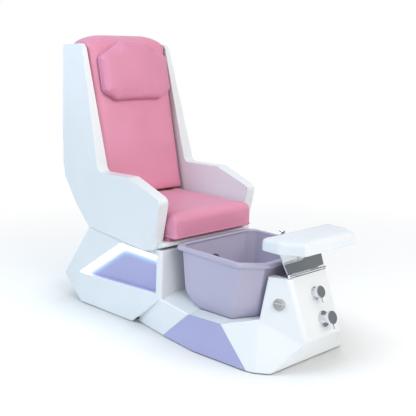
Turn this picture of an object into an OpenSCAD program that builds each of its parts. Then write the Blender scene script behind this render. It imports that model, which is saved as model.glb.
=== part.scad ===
// A child's pedicure chair: a moulded base with a foot tub, a winged seat shell,
// loose cushions, a tip-over foot rest and chrome water controls.
// X runs across the chair, Y from the foot rest (-) to the back (+), Z up from the floor.

/* [Base moulding] */
// Wall of the base, the seat shell and the tub
wall = 6; // [4:0.5:7]
// Height of the base's lower edge above the floor
floor_gap = 4; // [3:0.5:6]
// Length of the pedestal's top, from its front face to its upper back edge
pedestal_l = 466; // [450:1:480]
// How far the pedestal swells out behind its upper back edge
pedestal_swell = 158; // [150:1:160]
// Height of the pedestal's rear fold above the floor
rear_fold_z = 105; // [95:1:115]
// Width of the pedestal across its front top corners
pedestal_front_w = 436; // [430:1:442]
// Width of the pedestal across its rear top corners
pedestal_back_w = 460; // [456:1:466]
// Width of the pedestal across its rear fold
pedestal_fold_w = 524; // [516:1:530]
// Width of the base across the notch where the pedestal meets the sill
notch_w = 420; // [414:1:426]
// Width of the base at its foot, where the side panels start behind the tub
sill_w = 466; // [460:1:472]
// Height of the front column's flat top
column_top_z = 304; // [298:1:310]
// Width of the front column's face
column_w = 180; // [170:1:190]
// Height of the fold where the front face turns back under
nose_z = 112; // [104:1:120]
// How far the nose stands in front of the column's top edge
nose_reach = 77; // [70:1:84]
// Thickness of the coloured panels let into the sides
trim_t = 3; // [2:0.5:3.5]
// Depth of the lit recesses below the pedestal's sides
recess_depth = 20; // [16:1:24]
// Width of the light strips
led_w = 17; // [12:1:20]

/* [Seat shell] */
// Height of the wings above the floor
wing_top_z = 1050; // [1040:1:1060]
// Depth of a wing at its top
wing_top_l = 141; // [132:1:150]
// Width across the wings at their top
wing_top_w = 432; // [426:1:438]
// Width across the arms at their widest
arm_w = 488; // [482:1:494]
// Width across the arms at their front tips
arm_tip_w = 476; // [470:1:482]
// Clear width between the arms
seat_w = 392; // [388:1:396]
// Height of the arms where they leave the wings
arm_z = 566; // [556:1:576]
// Height of the arms' front tips
arm_tip_z = 508; // [500:1:516]
// Height of the upper face of the pan under the seat
pan_z = 348; // [344:1:352]
// Depth of the pan's front lip
lip_h = 15; // [12:1:18]

/* [Cushions] */
// Thickness of the seat cushion
seat_pad_t = 90; // [84:1:96]
// Thickness of the back cushion
back_pad_t = 60; // [54:1:66]
// Height of the back cushion's rolled top above the wings
back_top_rise = 45; // [38:1:50]
// Lean of the back, in degrees from upright
back_lean = 11.4; // [10.8:0.1:12]
// Width of the headrest pillow
pillow_w = 340; // [330:1:350]
// Height of the headrest pillow along the back
pillow_h = 251; // [242:1:260]
// Thickness of the headrest pillow
pillow_t = 38; // [32:1:44]
// Thickness of the plywood boards under the cushions
board_t = 12; // [9:1:14]

/* [Tub] */
// Height of the tub's rim
rim_z = 349; // [344:1:352]
// Width over the tub's rim
rim_w = 390; // [384:1:396]
// Depth of the rim's turned edge
rim_t = 18; // [14:1:20]
// Clear width of the tub's mouth
mouth_w = 362; // [356:1:366]
// Width of the tub's body just under the rim
body_w = 376; // [370:1:382]
// Length of the tub over its rim
rim_l = 415; // [410:1:420]
// Depth of the tub below its rim
tub_depth = 250; // [240:1:256]
// Diameter of the drain hole
drain_d = 42; // [38:1:46]
// Diameter of the water jet's hole
jet_d = 32; // [28:1:36]

/* [Foot rest] */
// Width of the foot pad
foot_pad_w = 340; // [330:1:350]
// Length of the foot pad, front to back
foot_pad_l = 158; // [150:1:164]
// Thickness of the foot pad
foot_pad_t = 44; // [40:1:48]
// Height of the foot pad's upper face
foot_pad_z = 446; // [440:1:452]
// Thickness of the foot pad's board
foot_board_t = 6; // [5:1:8]
// Thickness of the bent chrome bracket
bracket_t = 3; // [2:0.5:4]
// Radius of the foot rest's hinge pin
hinge_pin_r = 3; // [2.5:0.25:3.5]

/* [Water controls] */
// Radius of the upper tap's knob
upper_knob_r = 20; // [18:1:22]
// Radius of the lower tap's knob
lower_knob_r = 22; // [20:1:24]
// Radius of the upper tap's wall flange
upper_flange_r = 21; // [19:1:23]
// Radius of the lower tap's wall flange
lower_flange_r = 27; // [25:1:29]
// Radius of the tap stems
stem_r = 4; // [3.5:0.25:4.5]
// Radius of the drain control's wall ring
drain_ring_r = 20; // [18:1:22]
// Radius of the inlets' male thread, half-inch pipe
inlet_r = 10.5; // [10:0.25:11]
// Radius of the water hoses
hose_r = 8; // [7:0.5:9]
// Radius of the hand spray's handle
spray_r = 8; // [7:0.5:9]

/* [Hidden] */

// Overrun of every cut, clearances and roundness
over = 1;
seat_gap = 0.3;
fit_gap = 0.2;
run_gap = 0.05;
$fn = 64;

// Stations of the base along Y, from the middle of the chair, and its other corners
pedestal_front_y = -14;
pedestal_front_lean = 9;
pedestal_back_y = pedestal_front_y + pedestal_l;
pedestal_front_top_z = 342;
rear_fold_y = pedestal_back_y + pedestal_swell;
pedestal_foot_back_y = 497;
pedestal_foot_w = 514;
cheek_foot_w = 468;
cheek_foot_y = 163;
cheek_rake = 24;
notch_y = 156;
front_fold_z = 141;
front_fold_w = 468;
front_fold_in_z = 157;
sill_back_y = -35;
sill_foot_front_y = -455;
sill_foot_front_w = 438;
sill_belly_w = 488;
sill_belly_y = -215;
sill_ridge_w = 420;
sill_ridge_back_y = -154;
sill_ridge_back_z = 112;
sill_ridge_front_y = -322;
sill_ridge_front_z = 124;
ledge_in_w = 300;
ledge_rise = 9;
toe_w = 416;
toe_y = -489;
bow_w = 360;
bow_y = -527;
column_front_y = -523;
column_back_y = -452;
column_back_w = 248;
shoulder_w = 309;
shoulder_y = -443;
shoulder_z = 160;
nose_y = column_front_y - nose_reach;
nose_w = column_w - 4;
column_lean = atan(nose_reach / (column_top_z - nose_z));

// Outline of the lit recess, in side view
recess = [[502, 130], [233, 301], [8, 295], [4, 156]];
recess_flange = 6;
led_t = 4;

// The line on which the seat shell sits on the pedestal, in side view
heel_z = 331;
belly_y = 79;
belly_z = 305;
toe_in_y = 14;
toe_in_z = 318;

// Seat shell stations, in side view
shell_back_y = 626;
wing_back_rise = 6;
wing_front_rise = 11;
wing_front_y = shell_back_y - wing_top_l;
waist_y = 622;
waist_z = 710;
kink_y = 611;
kink_z = 523;
tail_y = 546;
tail_z = 426;
elbow_y = 352;
knee_y = 147;
knee_rise = 4;
arm_tip_y = -35;
shell_foot_w = 466;
lip_y = -26;
lip_w = pedestal_front_w;

// Cushions: places, edge rounding and how far the sides are drawn in
seat_pad_front_y = -66;
seat_pad_back_y = 392;
seat_low_z = pan_z + board_t + seat_gap;
seat_roll_r = 29;
seat_low_r = 10;
seat_crown = 4;
back_pad_foot_z = seat_low_z + seat_pad_t + 2 * seat_gap;
back_pad_foot_y = 357;
pad_edge_r = 7;
pad_round = 20;
pad_low_round = 6;
pad_corner_r = 22;
pad_crown = 6;
pad_draw = 2;
pad_side_gap = 1;
board_margin = 10;
back_roll_l = 126;
pillow_foot_z = 833;
pillow_gap = 4;
pillow_chamfer = [118, 68];
pillow_low_chamfer = [58, 40];

// Tub: ends, corner cuts and how the body draws in towards its floor
rim_back_y = -49;
rim_front_y = rim_back_y - rim_l;
rim_cut = 72;
rim_back_cut = 28;
mouth_back_cut = 27;
tub_end_gap = 15;
mouth_end_gap = 27;
tub_side_draw = 62;
tub_back_draw = 100;
tub_front_draw = 98;
tub_front_y = rim_front_y + tub_end_gap;
tub_back_y = rim_back_y - tub_end_gap;
tub_floor_z = rim_z - tub_depth;
tub_gap = 1.5;
// Each row: height, side draw, back draw and front draw, as shares
tub_ring_shares = [[1, 0, 0, 0], [0.39, 0.18, 0, 0.35], [0.31, 0.235, 0.09, 0.42], [0.23, 0.32, 0.23, 0.5],
                   [0.15, 0.44, 0.42, 0.6], [0.08, 0.6, 0.64, 0.72], [0.03, 0.78, 0.82, 0.85], [0, 1, 1, 1]];
drain_y = (tub_front_y + tub_front_draw + tub_back_y - tub_back_draw) / 2;
jet_x = -8;
jet_z = 261;

// Inner frame
rail_x = 110;
rail_w = 30;
rail_low_z = 12;
rail_h = 20;
rail_top_z = rail_low_z + rail_h;
rail_front_y = -486;
rail_back_y = 474;
cross_front_y = -426;
cross_tub_y = -116;
cross_seat_y = 114;
cross_back_y = 404;
cross_stations = [cross_front_y, cross_tub_y, cross_seat_y, cross_back_y];
post_front_y = -296;
post_back_y = -216;
post_stations = [post_front_y, post_back_y];
post_w = 20;
tub_pad_t = 4;
foot_spread = 440;
foot_stations = [-foot_spread, 0, foot_spread];
foot_r = 20;
foot_t = 8;
foot_stud_r = 5;

// Service recess at the back
service_w = 222;
service_low_z = 122;
service_h = 110;
service_y = 509;
service_t = 4;
inlet_z = 160;
cold_x = -36;
hot_x = 68;
inlet_l = 25;
nut_r = 15;
nut_t = 6;
tail_l = 17;
power_x = 16;
power_z = 208;
power_w = 30;
power_h = 24;
power_l = 22;

// Taps on the front face, and the drain control on the column's side
upper_tap_x = 8;
upper_tap_z = 244;
lower_tap_x = 16;
lower_tap_z = 161;
tap_x = [upper_tap_x, lower_tap_x];
tap_z = [upper_tap_z, lower_tap_z];
tap_neck_r = 13;
tap_flange_t = 4;
upper_reach = 16;
lower_reach = 28;
knob_t = 11;
tap_body_r = 15;
tap_body_l = 52;
stem_l = 34;
lever_r = 2.5;
lever_l = 16;
port_spread = 52;
port_r = 9;
port_drop = 30;
port_depth = 44;
drain_ring_t = 5;
drain_knob_r = 15;
drain_knob_t = 12;
drain_neck_r = 12;
control_x = 116;
control_y = -503;
control_z = 220;
drain_control_l = 25;

// Foot rest
pin_y = column_front_y + 5;
leaf_t = 2;
leaf_l = 14;
knuckle_t = 2.5;
knuckle_r = hinge_pin_r + knuckle_t;
pin_z = column_top_z + leaf_t + knuckle_r + seat_gap;
bracket_w = column_w;
bracket_top_w = 200;
knuckle_w = 120;
bracket_back_y = -474;
foot_pad_back_y = -460;
foot_pad_low_z = foot_pad_z - foot_pad_t;
foot_board_low_z = foot_pad_low_z - foot_board_t;
bracket_top_z = foot_board_low_z - seat_gap;
bracket_flange_l = 100;
foot_pad_cut_x = 45;
foot_pad_cut_y = 80;
foot_pad_back_cut = 10;

// Spray on the tub's far rim
spray_x = 206;
spray_y = -221;
spray_sleeve_l = 62;
spray_collar_r = 13;
spray_collar_t = 3;
spray_wall = 2;
spray_head_l = 11;
spray_head_h = 9;
spray_tip_r = 6;
spray_tilt = 75;
spray_ear_r = 17;

// Convex solid through a list of corners and their mirror images across the chair
module gem(points) {
    all = concat(points, [for (p = points) [-p.x, p.y, p.z]]);
    hull() polyhedron(all, faces = [[for (i = [0 : len(all) - 1]) i]]);
}

// Solid with the side outline of the points, as wide as w across the chair
module across(outline, w) {
    translate([-w / 2, 0, 0]) rotate([90, 0, 90]) linear_extrude(w) polygon(outline);
}

// Box between two corners
module span(low, high) {
    translate(low) cube(high - low);
}

// Upright rod, and upright ring or tube, between two heights
module rod(r, low, high) {
    translate([0, 0, low]) cylinder(r = r, h = high - low);
}

module ring(outer, inner, low, high) {
    difference() {
        rod(outer, low, high);
        rod(inner, low - over, high + over);
    }
}

// The same thing on both sides of the chair
module both_sides() {
    children();
    mirror([1, 0, 0]) children();
}

function unit(v) = v / norm(v);

function mix(a, b, f) = a * (1 - f) + b * f;

function middle_of(v) = (max(v) + min(v)) / 2;

// Closed skin over a stack of rings with equal counts, with a centre point at each end
module skin(rings, first, last) {
    n = len(rings[0]);
    m = len(rings);
    points = concat([for (r = rings) for (p = r) p], [first, last]);
    faces = concat(
        [for (i = [0 : n - 1]) [m * n, i, (i + 1) % n]],
        [for (k = [0 : m - 2]) for (i = [0 : n - 1]) for (half = [0, 1])
            let (a = k * n + i, b = k * n + (i + 1) % n)
            half == 0 ? [a, a + n, b] : [b, a + n, b + n]],
        [for (i = [0 : n - 1]) [m * n + 1, (m - 1) * n + (i + 1) % n, (m - 1) * n + i]]);
    polyhedron(points, faces);
}

// Ring round a convex outline: corner arcs of radius r - inset, sides pulled in by draw
arc_steps = 3;
side_steps = 4;

function cushion_ring(c, r, inset, z, draw) = let (n = len(c)) [
    for (i = [0 : n - 1])
        let (here = c[i], before = c[(i + n - 1) % n], after = c[(i + 1) % n], next = c[(i + 2) % n],
             d1 = unit(here - before), d2 = unit(after - here), d3 = unit(next - after),
             n1 = [d1.y, -d1.x], n2 = [d2.y, -d2.x], n3 = [d3.y, -d3.x],
             middle = here - r * (n1 + n2) / (1 + n1 * n2),
             middle2 = after - r * (n2 + n3) / (1 + n2 * n3))
        for (k = [0 : arc_steps + side_steps - 1])
            let (f = (k - arc_steps) / side_steps,
                 p = k < arc_steps
                     ? middle + (r - inset) * unit(mix(n1, n2, k / arc_steps))
                     : mix(middle, middle2, f) + (r - inset - draw * 4 * f * (1 - f)) * n2)
            [p.x, p.y, z]
];

function shrunk(ring, s, z) =
    let (x = middle_of([for (p = ring) p.x]), y = middle_of([for (p = ring) p.y]))
    [for (p = ring) [mix(x, p.x, s), mix(y, p.y, s), z]];

// Padded form on a flat back: plan corners c, thickness t, plan corner radius r,
// upper and lower edge rounding, crown of the top and pull of the sides
module cushion(c, t, r, edge, low_edge, crown, draw) {
    rim_ring = cushion_ring(c, r, edge, t, draw);
    low_ring = cushion_ring(c, r, low_edge, 0, draw);
    x = middle_of([for (p = c) p.x]);
    y = middle_of([for (p = c) p.y]);
    rings = concat(
        [shrunk(low_ring, 0.5, 0), low_ring],
        [for (a = [45, 90]) cushion_ring(c, r, low_edge * (1 - sin(a)), low_edge * (1 - cos(a)), draw)],
        [for (a = [0, 30, 60]) cushion_ring(c, r, edge * (1 - cos(a)), t - edge + edge * sin(a), draw)],
        [for (s = [1, 0.8, 0.6, 0.4, 0.2]) shrunk(rim_ring, s, t + crown * (1 - s * s))]);
    skin(rings, [x, y, 0], [x, y, t + crown]);
}

// Corners of a rectangle with its four corners cut off, front cuts first
function cut_box(half_w, front_y, back_y, cut, back_cut) = [
    [-half_w, front_y + cut], [-half_w + cut, front_y], [half_w - cut, front_y], [half_w, front_y + cut],
    [half_w, back_y - back_cut], [half_w - back_cut, back_y],
    [-half_w + back_cut, back_y], [-half_w, back_y - back_cut]
];

// Tube of radius r along smooth points that never run straight across the chair
module hose(points, r) {
    n = len(points);
    sides = 8;
    rings = [for (i = [0 : n - 1])
        let (t = unit(points[min(i + 1, n - 1)] - points[max(i - 1, 0)]),
             u = unit(cross(t, [1, 0, 0])),
             v = cross(t, u))
        [for (k = [0 : sides - 1]) points[i] + r * (cos(360 * k / sides) * u + sin(360 * k / sides) * v)]];
    skin(rings, points[0], points[n - 1]);
}

// Corner cutting: each round replaces every inner corner by two points
function smooth(p, rounds) = rounds == 0 ? p : let (n = len(p)) smooth(concat(
    [p[0]],
    [for (i = [0 : n - 2]) for (f = [0.25, 0.75])
        if (!(i == 0 && f < 0.5) && !(i == n - 2 && f > 0.5)) mix(p[i], p[i + 1], f)],
    [p[n - 1]]), rounds - 1);

// Base: corner lists on the right side, drawn in by t for the hollow inside

function pedestal_corners(t, foot) = [
    [pedestal_front_w / 2 - t, pedestal_front_y + t, pedestal_front_top_z],
    [pedestal_back_w / 2 - t, pedestal_back_y - t, heel_z],
    [pedestal_fold_w / 2 - t, rear_fold_y - 1.3 * t, rear_fold_z],
    [front_fold_w / 2 - t, pedestal_front_y - pedestal_front_lean + t, front_fold_z],
    [pedestal_foot_w / 2 - t, pedestal_foot_back_y - t, foot],
    [cheek_foot_w / 2 - t, cheek_foot_y + t / 2, foot],
    [ledge_in_w / 2, cheek_foot_y - cheek_rake + t, foot]
];

function link_corners(t, foot) = [
    [front_fold_w / 2 - t, pedestal_front_y - pedestal_front_lean + t, front_fold_z - t],
    [ledge_in_w / 2, pedestal_front_y, front_fold_in_z - t],
    [notch_w / 2 - t, notch_y, foot],
    [ledge_in_w / 2, notch_y, front_fold_in_z - t],
    [sill_w / 2 - t, sill_back_y, foot],
    [sill_ridge_w / 2 - t, sill_ridge_back_y, sill_ridge_back_z - t],
    [ledge_in_w / 2, sill_ridge_back_y, sill_ridge_back_z + ledge_rise - t],
    [ledge_in_w / 2, sill_ridge_back_y, foot]
];

function sill_corners(t, foot) = [
    [sill_w / 2 - t, sill_back_y - t, foot],
    [sill_belly_w / 2 - t, sill_belly_y, foot],
    [sill_ridge_w / 2 - t, sill_ridge_back_y, sill_ridge_back_z - t],
    [ledge_in_w / 2, sill_ridge_back_y, sill_ridge_back_z + ledge_rise - t],
    [sill_ridge_w / 2 - t, sill_ridge_front_y, sill_ridge_front_z - t],
    [ledge_in_w / 2, sill_ridge_front_y, sill_ridge_front_z + ledge_rise - t],
    [sill_foot_front_w / 2 - t, sill_foot_front_y, foot]
];

function bow_corners(t, foot) = [
    [sill_ridge_w / 2 - t, sill_ridge_front_y, sill_ridge_front_z - t],
    [ledge_in_w / 2, sill_ridge_front_y, sill_ridge_front_z + ledge_rise - t],
    [sill_ridge_w / 2 - t, sill_ridge_front_y, foot],
    [sill_foot_front_w / 2 - t, sill_foot_front_y, foot],
    [toe_w / 2 - t, toe_y + t, foot],
    [bow_w / 2 - t, bow_y + 2 * t, foot],
    [nose_w / 2 - t, nose_y + 1.4 * t, nose_z],
    [shoulder_w / 2 - t, shoulder_y + t, shoulder_z - t]
];

function column_corners(t, foot) = [
    [column_back_w / 2 - t, column_back_y, column_top_z - t],
    [column_w / 2 - t, column_front_y + t, column_top_z - t],
    [nose_w / 2 - t, nose_y + 1.4 * t, nose_z],
    [shoulder_w / 2 - t, shoulder_y, shoulder_z - t],
    [nose_w / 2 - t, shoulder_y, foot]
];

module pedestal_form(t, foot) {
    difference() {
        gem(pedestal_corners(t, foot));
        above_seat_line(-t);
    }
}

module base_form(t, foot) {
    pedestal_form(t, foot);
    gem(link_corners(t, foot));
    gem(sill_corners(t, foot));
    gem(bow_corners(t, foot));
    gem(column_corners(t, foot));
}

// Everything above the line on which the seat shell sits, raised by lift
module above_seat_line(lift = 0) {
    front = pedestal_front_y - wall * 10;
    top = heel_z + pedestal_l;
    translate([0, 0, lift])
        across([[rear_fold_y, heel_z], [pedestal_back_y, heel_z], [belly_y, belly_z],
                [toe_in_y, toe_in_z], [front, toe_in_z], [front, top], [rear_fold_y, top]], pedestal_fold_w);
}

module base_inside(t) {
    base_form(t, -over);
}

// Outline in side view pushed out of the right side of the chair
module side_prism(outline, start = ledge_in_w / 2) {
    translate([start, 0, 0]) rotate([90, 0, 90]) linear_extrude(pedestal_fold_w) polygon(outline);
}

trim_outline = [[sill_back_y, floor_gap], [sill_ridge_back_y, sill_ridge_back_z],
                [sill_ridge_front_y, sill_ridge_front_z], [sill_foot_front_y, floor_gap]];

// Skin of thickness t on the sill's right side, within the trim's outline
module sill_skin(t) {
    difference() {
        side_prism(trim_outline, sill_ridge_w / 2 - 3 * wall);
        gem(sill_corners(t, -over));
        gem(bow_corners(t, -over));
    }
}

module grown_prism(outline, grow) {
    translate([ledge_in_w / 2, 0, 0]) rotate([90, 0, 90]) linear_extrude(pedestal_fold_w)
        offset(delta = grow) polygon(outline);
}

// Places something on the front face, its axis pointing out of the face
module on_front_face(x, z) {
    translate([x, column_front_y - (column_top_z - z) * tan(column_lean), z])
        rotate([90 - column_lean, 0, 0]) children();
}

// Places something on the column's left side face, its axis pointing out of the face
side_normal = let (a = [-column_w / 2, column_front_y, column_top_z],
                   b = [-column_back_w / 2, column_back_y, column_top_z],
                   c = [-nose_w / 2, nose_y, nose_z]) unit(cross(b - a, c - a));

drain_control = let (start = [-column_w / 2, column_front_y, column_top_z], p = [-control_x, control_y, control_z])
    p + side_normal * ((start - p) * side_normal);

module on_column_side() {
    translate(drain_control) rotate([0, acos(side_normal.z), atan2(side_normal.y, side_normal.x)]) children();
}

module in_drain_place() {
    translate([0, drain_y, 0]) children();
}

module service_block(grow) {
    span([-service_w / 2 - grow, service_y - grow, service_low_z - grow],
         [service_w / 2 + grow, rear_fold_y, service_low_z + service_h + grow]);
}

module base_shell() color("white") difference() {
    base_form(0, floor_gap);
    base_inside(wall);
    tub_form(tub_gap, rim_z);
    both_sides() grown_prism(recess, 0);
    both_sides() sill_skin(trim_t + fit_gap);
    service_block(0);
    for (i = [0, 1]) on_front_face(tap_x[i], tap_z[i]) rod(tap_neck_r + fit_gap, -3 * wall, over);
    on_column_side() rod(drain_neck_r + fit_gap, -3 * wall, over);
    span([-column_w / 2 + wall, column_front_y + leaf_l + over, column_top_z - 2 * wall],
         [column_w / 2 - wall, column_back_y + over, column_top_z + over]);
    both_sides() for (y = bolt_stations) translate([bolt_x, y, 0])
        rod(bolt_r + fit_gap, belly_z - 3 * wall, heel_z + wall);
}

// Base: the pieces inside and on the moulding

module base_frame() color("dimgray") difference() {
    union() {
        both_sides() span([rail_x - rail_w / 2, rail_front_y, rail_low_z],
                          [rail_x + rail_w / 2, rail_back_y, rail_top_z]);
        intersection() {
            base_inside(wall + seat_gap);
            for (y = cross_stations)
                span([-pedestal_fold_w / 2, y, rail_low_z], [pedestal_fold_w / 2, y + rail_w, rail_top_z]);
        }
        both_sides() for (y = post_stations)
            span([rail_x - post_w / 2, y, rail_low_z],
                 [rail_x + post_w / 2, y + post_w, tub_floor_z - tub_pad_t - fit_gap]);
    }
    both_sides() for (y = foot_stations)
        translate([rail_x, y, 0]) rod(foot_stud_r + fit_gap, rail_low_z - over, rail_top_z + over);
}

module levelling_feet() color("black") both_sides() for (y = foot_stations) translate([rail_x, y, 0]) {
    rod(foot_r, 0, foot_t);
    rod(foot_stud_r, foot_t - over, rail_top_z + foot_t);
    rod(2 * foot_stud_r, foot_t - over, rail_low_z);
}

module service_box() color("gainsboro") difference() {
    intersection() {
        service_block(service_t);
        pedestal_form(wall + seat_gap, -over);
    }
    difference() {
        service_block(0);
        span([-service_w, service_y - over, 0], [service_w, service_y, heel_z]);
    }
    for (x = [cold_x, hot_x]) translate([x, service_y + over, inlet_z]) rotate([90, 0, 0])
        rod(inlet_r + fit_gap, 0, service_t + 2 * over);
    span([power_x - power_w / 2, service_y - service_t - over, power_z - power_h / 2],
         [power_x + power_w / 2, service_y + over, power_z + power_h / 2]);
}

// Tray that follows the pedestal's right side, open at the recess
module recess_tray() difference() {
    intersection() {
        grown_prism(recess, recess_flange);
        pedestal_form(wall + fit_gap, -over);
    }
    difference() {
        grown_prism(recess, 0);
        gem(pedestal_corners(recess_depth, -over));
    }
    gem(pedestal_corners(recess_depth + trim_t, -over));
}

module recess_tray_right() color("lightsteelblue") recess_tray();

module recess_tray_left() color("lightsteelblue") mirror([1, 0, 0]) recess_tray();

// Light strip along the upper edges of the recess, on the tray's back
module led_strip() difference() {
    intersection() {
        grown_prism(recess, -fit_gap);
        gem(pedestal_corners(recess_depth - led_t - fit_gap, -over));
    }
    gem(pedestal_corners(recess_depth - fit_gap, -over));
    side_prism(concat([for (k = [0 : 2]) recess[k] - [0, led_w]],
                      [[recess[2].x - recess_flange, recess[2].y - led_w],
                       [recess[2].x - recess_flange, floor_gap],
                       [recess[0].x + recess_flange, floor_gap],
                       [recess[0].x + recess_flange, recess[0].y - led_w]]));
}

module led_strip_right() color("aliceblue") led_strip();

module led_strip_left() color("aliceblue") mirror([1, 0, 0]) led_strip();

module lower_trim() intersection() {
    sill_skin(trim_t);
    union() {
        gem(sill_corners(0, floor_gap));
        gem(bow_corners(0, floor_gap));
    }
}

module lower_trim_right() color("mediumpurple") lower_trim();

module lower_trim_left() color("mediumpurple") mirror([1, 0, 0]) lower_trim();

driver_l = 90;
driver_w = 44;
driver_h = 26;

module led_driver() color("whitesmoke")
    translate([hot_x, cross_back_y - driver_w / 2, rail_top_z]) cube([driver_l, driver_w, driver_h]);

module power_inlet() color("black") difference() {
    span([power_x - power_w / 2 + fit_gap, service_y - power_l, power_z - power_h / 2 + fit_gap],
         [power_x + power_w / 2 - fit_gap, service_y + power_l / 4, power_z + power_h / 2 - fit_gap]);
    span([power_x - power_w / 2 + service_t, service_y - power_l + service_t, power_z - power_h / 2 + service_t],
         [power_x + power_w / 2 - service_t, service_y + power_l, power_z + power_h / 2 - service_t]);
}

// Seat shell: outline in side view, drawn in by t, its lower line lowered by drop
function shell_outline(t, drop) = [
    [wing_front_y + t, wing_top_z + wing_front_rise - t],
    [shell_back_y - t, wing_top_z + wing_back_rise - t],
    [waist_y - t, waist_z],
    [kink_y - t, kink_z],
    [tail_y - t, tail_z],
    [pedestal_back_y - t, heel_z - drop],
    [belly_y, belly_z - drop],
    [toe_in_y + t, toe_in_z - drop],
    [arm_tip_y + t, arm_tip_z - t],
    [knee_y + t / 2, arm_z + knee_rise - t],
    [elbow_y + t, arm_z - t]
];

function shell_front_view(t) = let (top = wing_top_z + wing_front_rise + over, low = belly_z - 4 * wall) [
    [-wing_top_w / 2 + t, top], [-arm_w / 2 + t, arm_z], [-shell_foot_w / 2 + t, low],
    [shell_foot_w / 2 - t, low], [arm_w / 2 - t, arm_z], [wing_top_w / 2 - t, top]
];

function shell_plan(t) = [
    [-arm_tip_w / 2 + t, arm_tip_y - over], [arm_tip_w / 2 - t, arm_tip_y - over], [arm_w / 2 - t, knee_y],
    [arm_w / 2 - t, shell_back_y + over], [-arm_w / 2 + t, shell_back_y + over], [-arm_w / 2 + t, knee_y]
];

// The whole width of the shell between its two outer faces, drawn in by t
module shell_envelope(t, drop) {
    intersection() {
        across(shell_outline(t, drop), arm_w);
        translate([0, shell_back_y + over, 0]) rotate([90, 0, 0])
            linear_extrude(shell_back_y - arm_tip_y + 2 * over) polygon(shell_front_view(t));
        translate([0, 0, belly_z - 4 * wall])
            linear_extrude(wing_top_z + wing_back_rise) polygon(shell_plan(t));
    }
}

// Front of the shell's back wall: a plane behind the cushion and its board
spine_offset = (back_pad_t + board_t + 2 * seat_gap) / cos(back_lean);

function spine_y(z) = back_pad_foot_y + spine_offset + (z - back_pad_foot_z) * tan(back_lean);

bolt_x = 150;
bolt_front_y = 110;
bolt_back_y = 400;
bolt_stations = [bolt_front_y, bolt_back_y];
bolt_r = 4;
boss_r = 12;
screw_r = 2;
screw_head_r = 4;
screw_x = 130;
screw_front_y = 40;
screw_back_y = 320;
screw_stations = [screw_front_y, screw_back_y];

module shell_middle() {
    back = shell_outline(0, 0);
    hollow = shell_outline(wall, 4 * wall);
    difference() {
        across([[lip_y, pan_z - lip_h], [lip_y, pan_z], [toe_in_y, pan_z], [toe_in_y, toe_in_z]], lip_w);
        across([[lip_y + wall, belly_z], [lip_y + wall, pan_z - wall],
                [toe_in_y - wall, pan_z - wall], [toe_in_y - wall, belly_z]], lip_w - 2 * wall);
    }
    difference() {
        across([[lip_y, pan_z - lip_h], [lip_y, pan_z], [spine_y(pan_z), pan_z],
                [spine_y(wing_top_z), wing_top_z], back[1], back[2], back[3], back[4], back[5], back[6],
                back[7]], seat_w + 2 * over);
        across([[lip_y + wall, belly_z - 4 * wall], [lip_y + wall, pan_z - wall],
                [spine_y(pan_z - wall) + wall, pan_z - wall],
                [spine_y(wing_top_z - wall) + wall, wing_top_z - wall],
                hollow[1], hollow[2], hollow[3], hollow[4], hollow[5],
                [pedestal_back_y - wall, belly_z - 4 * wall]], seat_w - 2 * wall);
    }
}

module seat_shell() color("white") difference() {
    union() {
        difference() {
            shell_envelope(0, 0);
            across([[arm_tip_y - over, belly_z - over], [arm_tip_y - over, wing_top_z + wing_front_rise + over],
                    [shell_back_y + over, wing_top_z + wing_front_rise + over],
                    [shell_back_y + over, belly_z - over]], seat_w);
            difference() {
                shell_envelope(wall, 4 * wall);
                span([-seat_w / 2 - wall, arm_tip_y - over, 0],
                     [seat_w / 2 + wall, shell_back_y + over, wing_top_z + wing_front_rise + over]);
            }
        }
        shell_middle();
        intersection() {
            both_sides() for (y = bolt_stations) translate([bolt_x, y, 0]) rod(boss_r, belly_z - over, pan_z - over);
            above_seat_line();
        }
    }
    both_sides() for (y = bolt_stations) translate([bolt_x, y, 0])
        rod(bolt_r + fit_gap, belly_z - 2 * wall, pan_z + over);
    both_sides() for (y = screw_stations) translate([screw_x, y, 0]) rod(screw_r + fit_gap, belly_z, pan_z + over);
    both_sides() for (s = back_screw_rises) on_back(screw_x, s)
        rod(screw_r + fit_gap, -board_t - 3 * wall, over);
}

module seat_bolts() color("silver") both_sides() for (y = bolt_stations) translate([bolt_x, y, 0]) {
    low = belly_z + (y - belly_y) * (heel_z - belly_z) / (pedestal_back_y - belly_y) - wall - over;
    rod(bolt_r, low - over, pan_z - over);
    rod(2 * bolt_r, low - 2 * bolt_r, low);
}

module seat_board() color("burlywood") difference() {
    span([-seat_w / 2 + board_margin, lip_y + board_margin, pan_z],
         [seat_w / 2 - board_margin, spine_y(pan_z) - 2 * board_margin, pan_z + board_t]);
    both_sides() for (y = screw_stations) translate([screw_x, y, 0])
        rod(screw_r + fit_gap, pan_z - over, pan_z + board_t - fit_gap);
}

// Places something on the shell's back wall, its axis pointing forwards out of it,
// x across and s up along the wall from the pan
module on_back(x, s) {
    translate([x, spine_y(pan_z), pan_z]) rotate([90 - back_lean, 0, 0]) translate([0, s, 0]) children();
}

back_board_low = 42;
back_board_gap = 24;
back_board_h = (wing_top_z - pan_z) / cos(back_lean) - back_board_low - back_board_gap;
back_screw_low = 100;
back_screw_high = 560;
back_screw_rises = [back_screw_low, back_screw_high];

module back_board() color("burlywood") difference() {
    on_back(0, back_board_low)
        span([-seat_w / 2 + board_margin, 0, 0], [seat_w / 2 - board_margin, back_board_h, board_t]);
    both_sides() for (s = back_screw_rises) on_back(screw_x, s)
        rod(screw_r + fit_gap, -over, board_t - fit_gap);
}

module board_screw(grip) {
    rod(screw_r, -grip - fit_gap, board_t - over);
    rod(screw_head_r, -grip - fit_gap - screw_r, -grip - fit_gap);
}

module board_screws() color("silver") both_sides() {
    for (y = screw_stations) translate([screw_x, y, pan_z]) board_screw(wall);
    for (s = back_screw_rises) on_back(screw_x, s) board_screw(wall);
}

// Cushions

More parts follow.
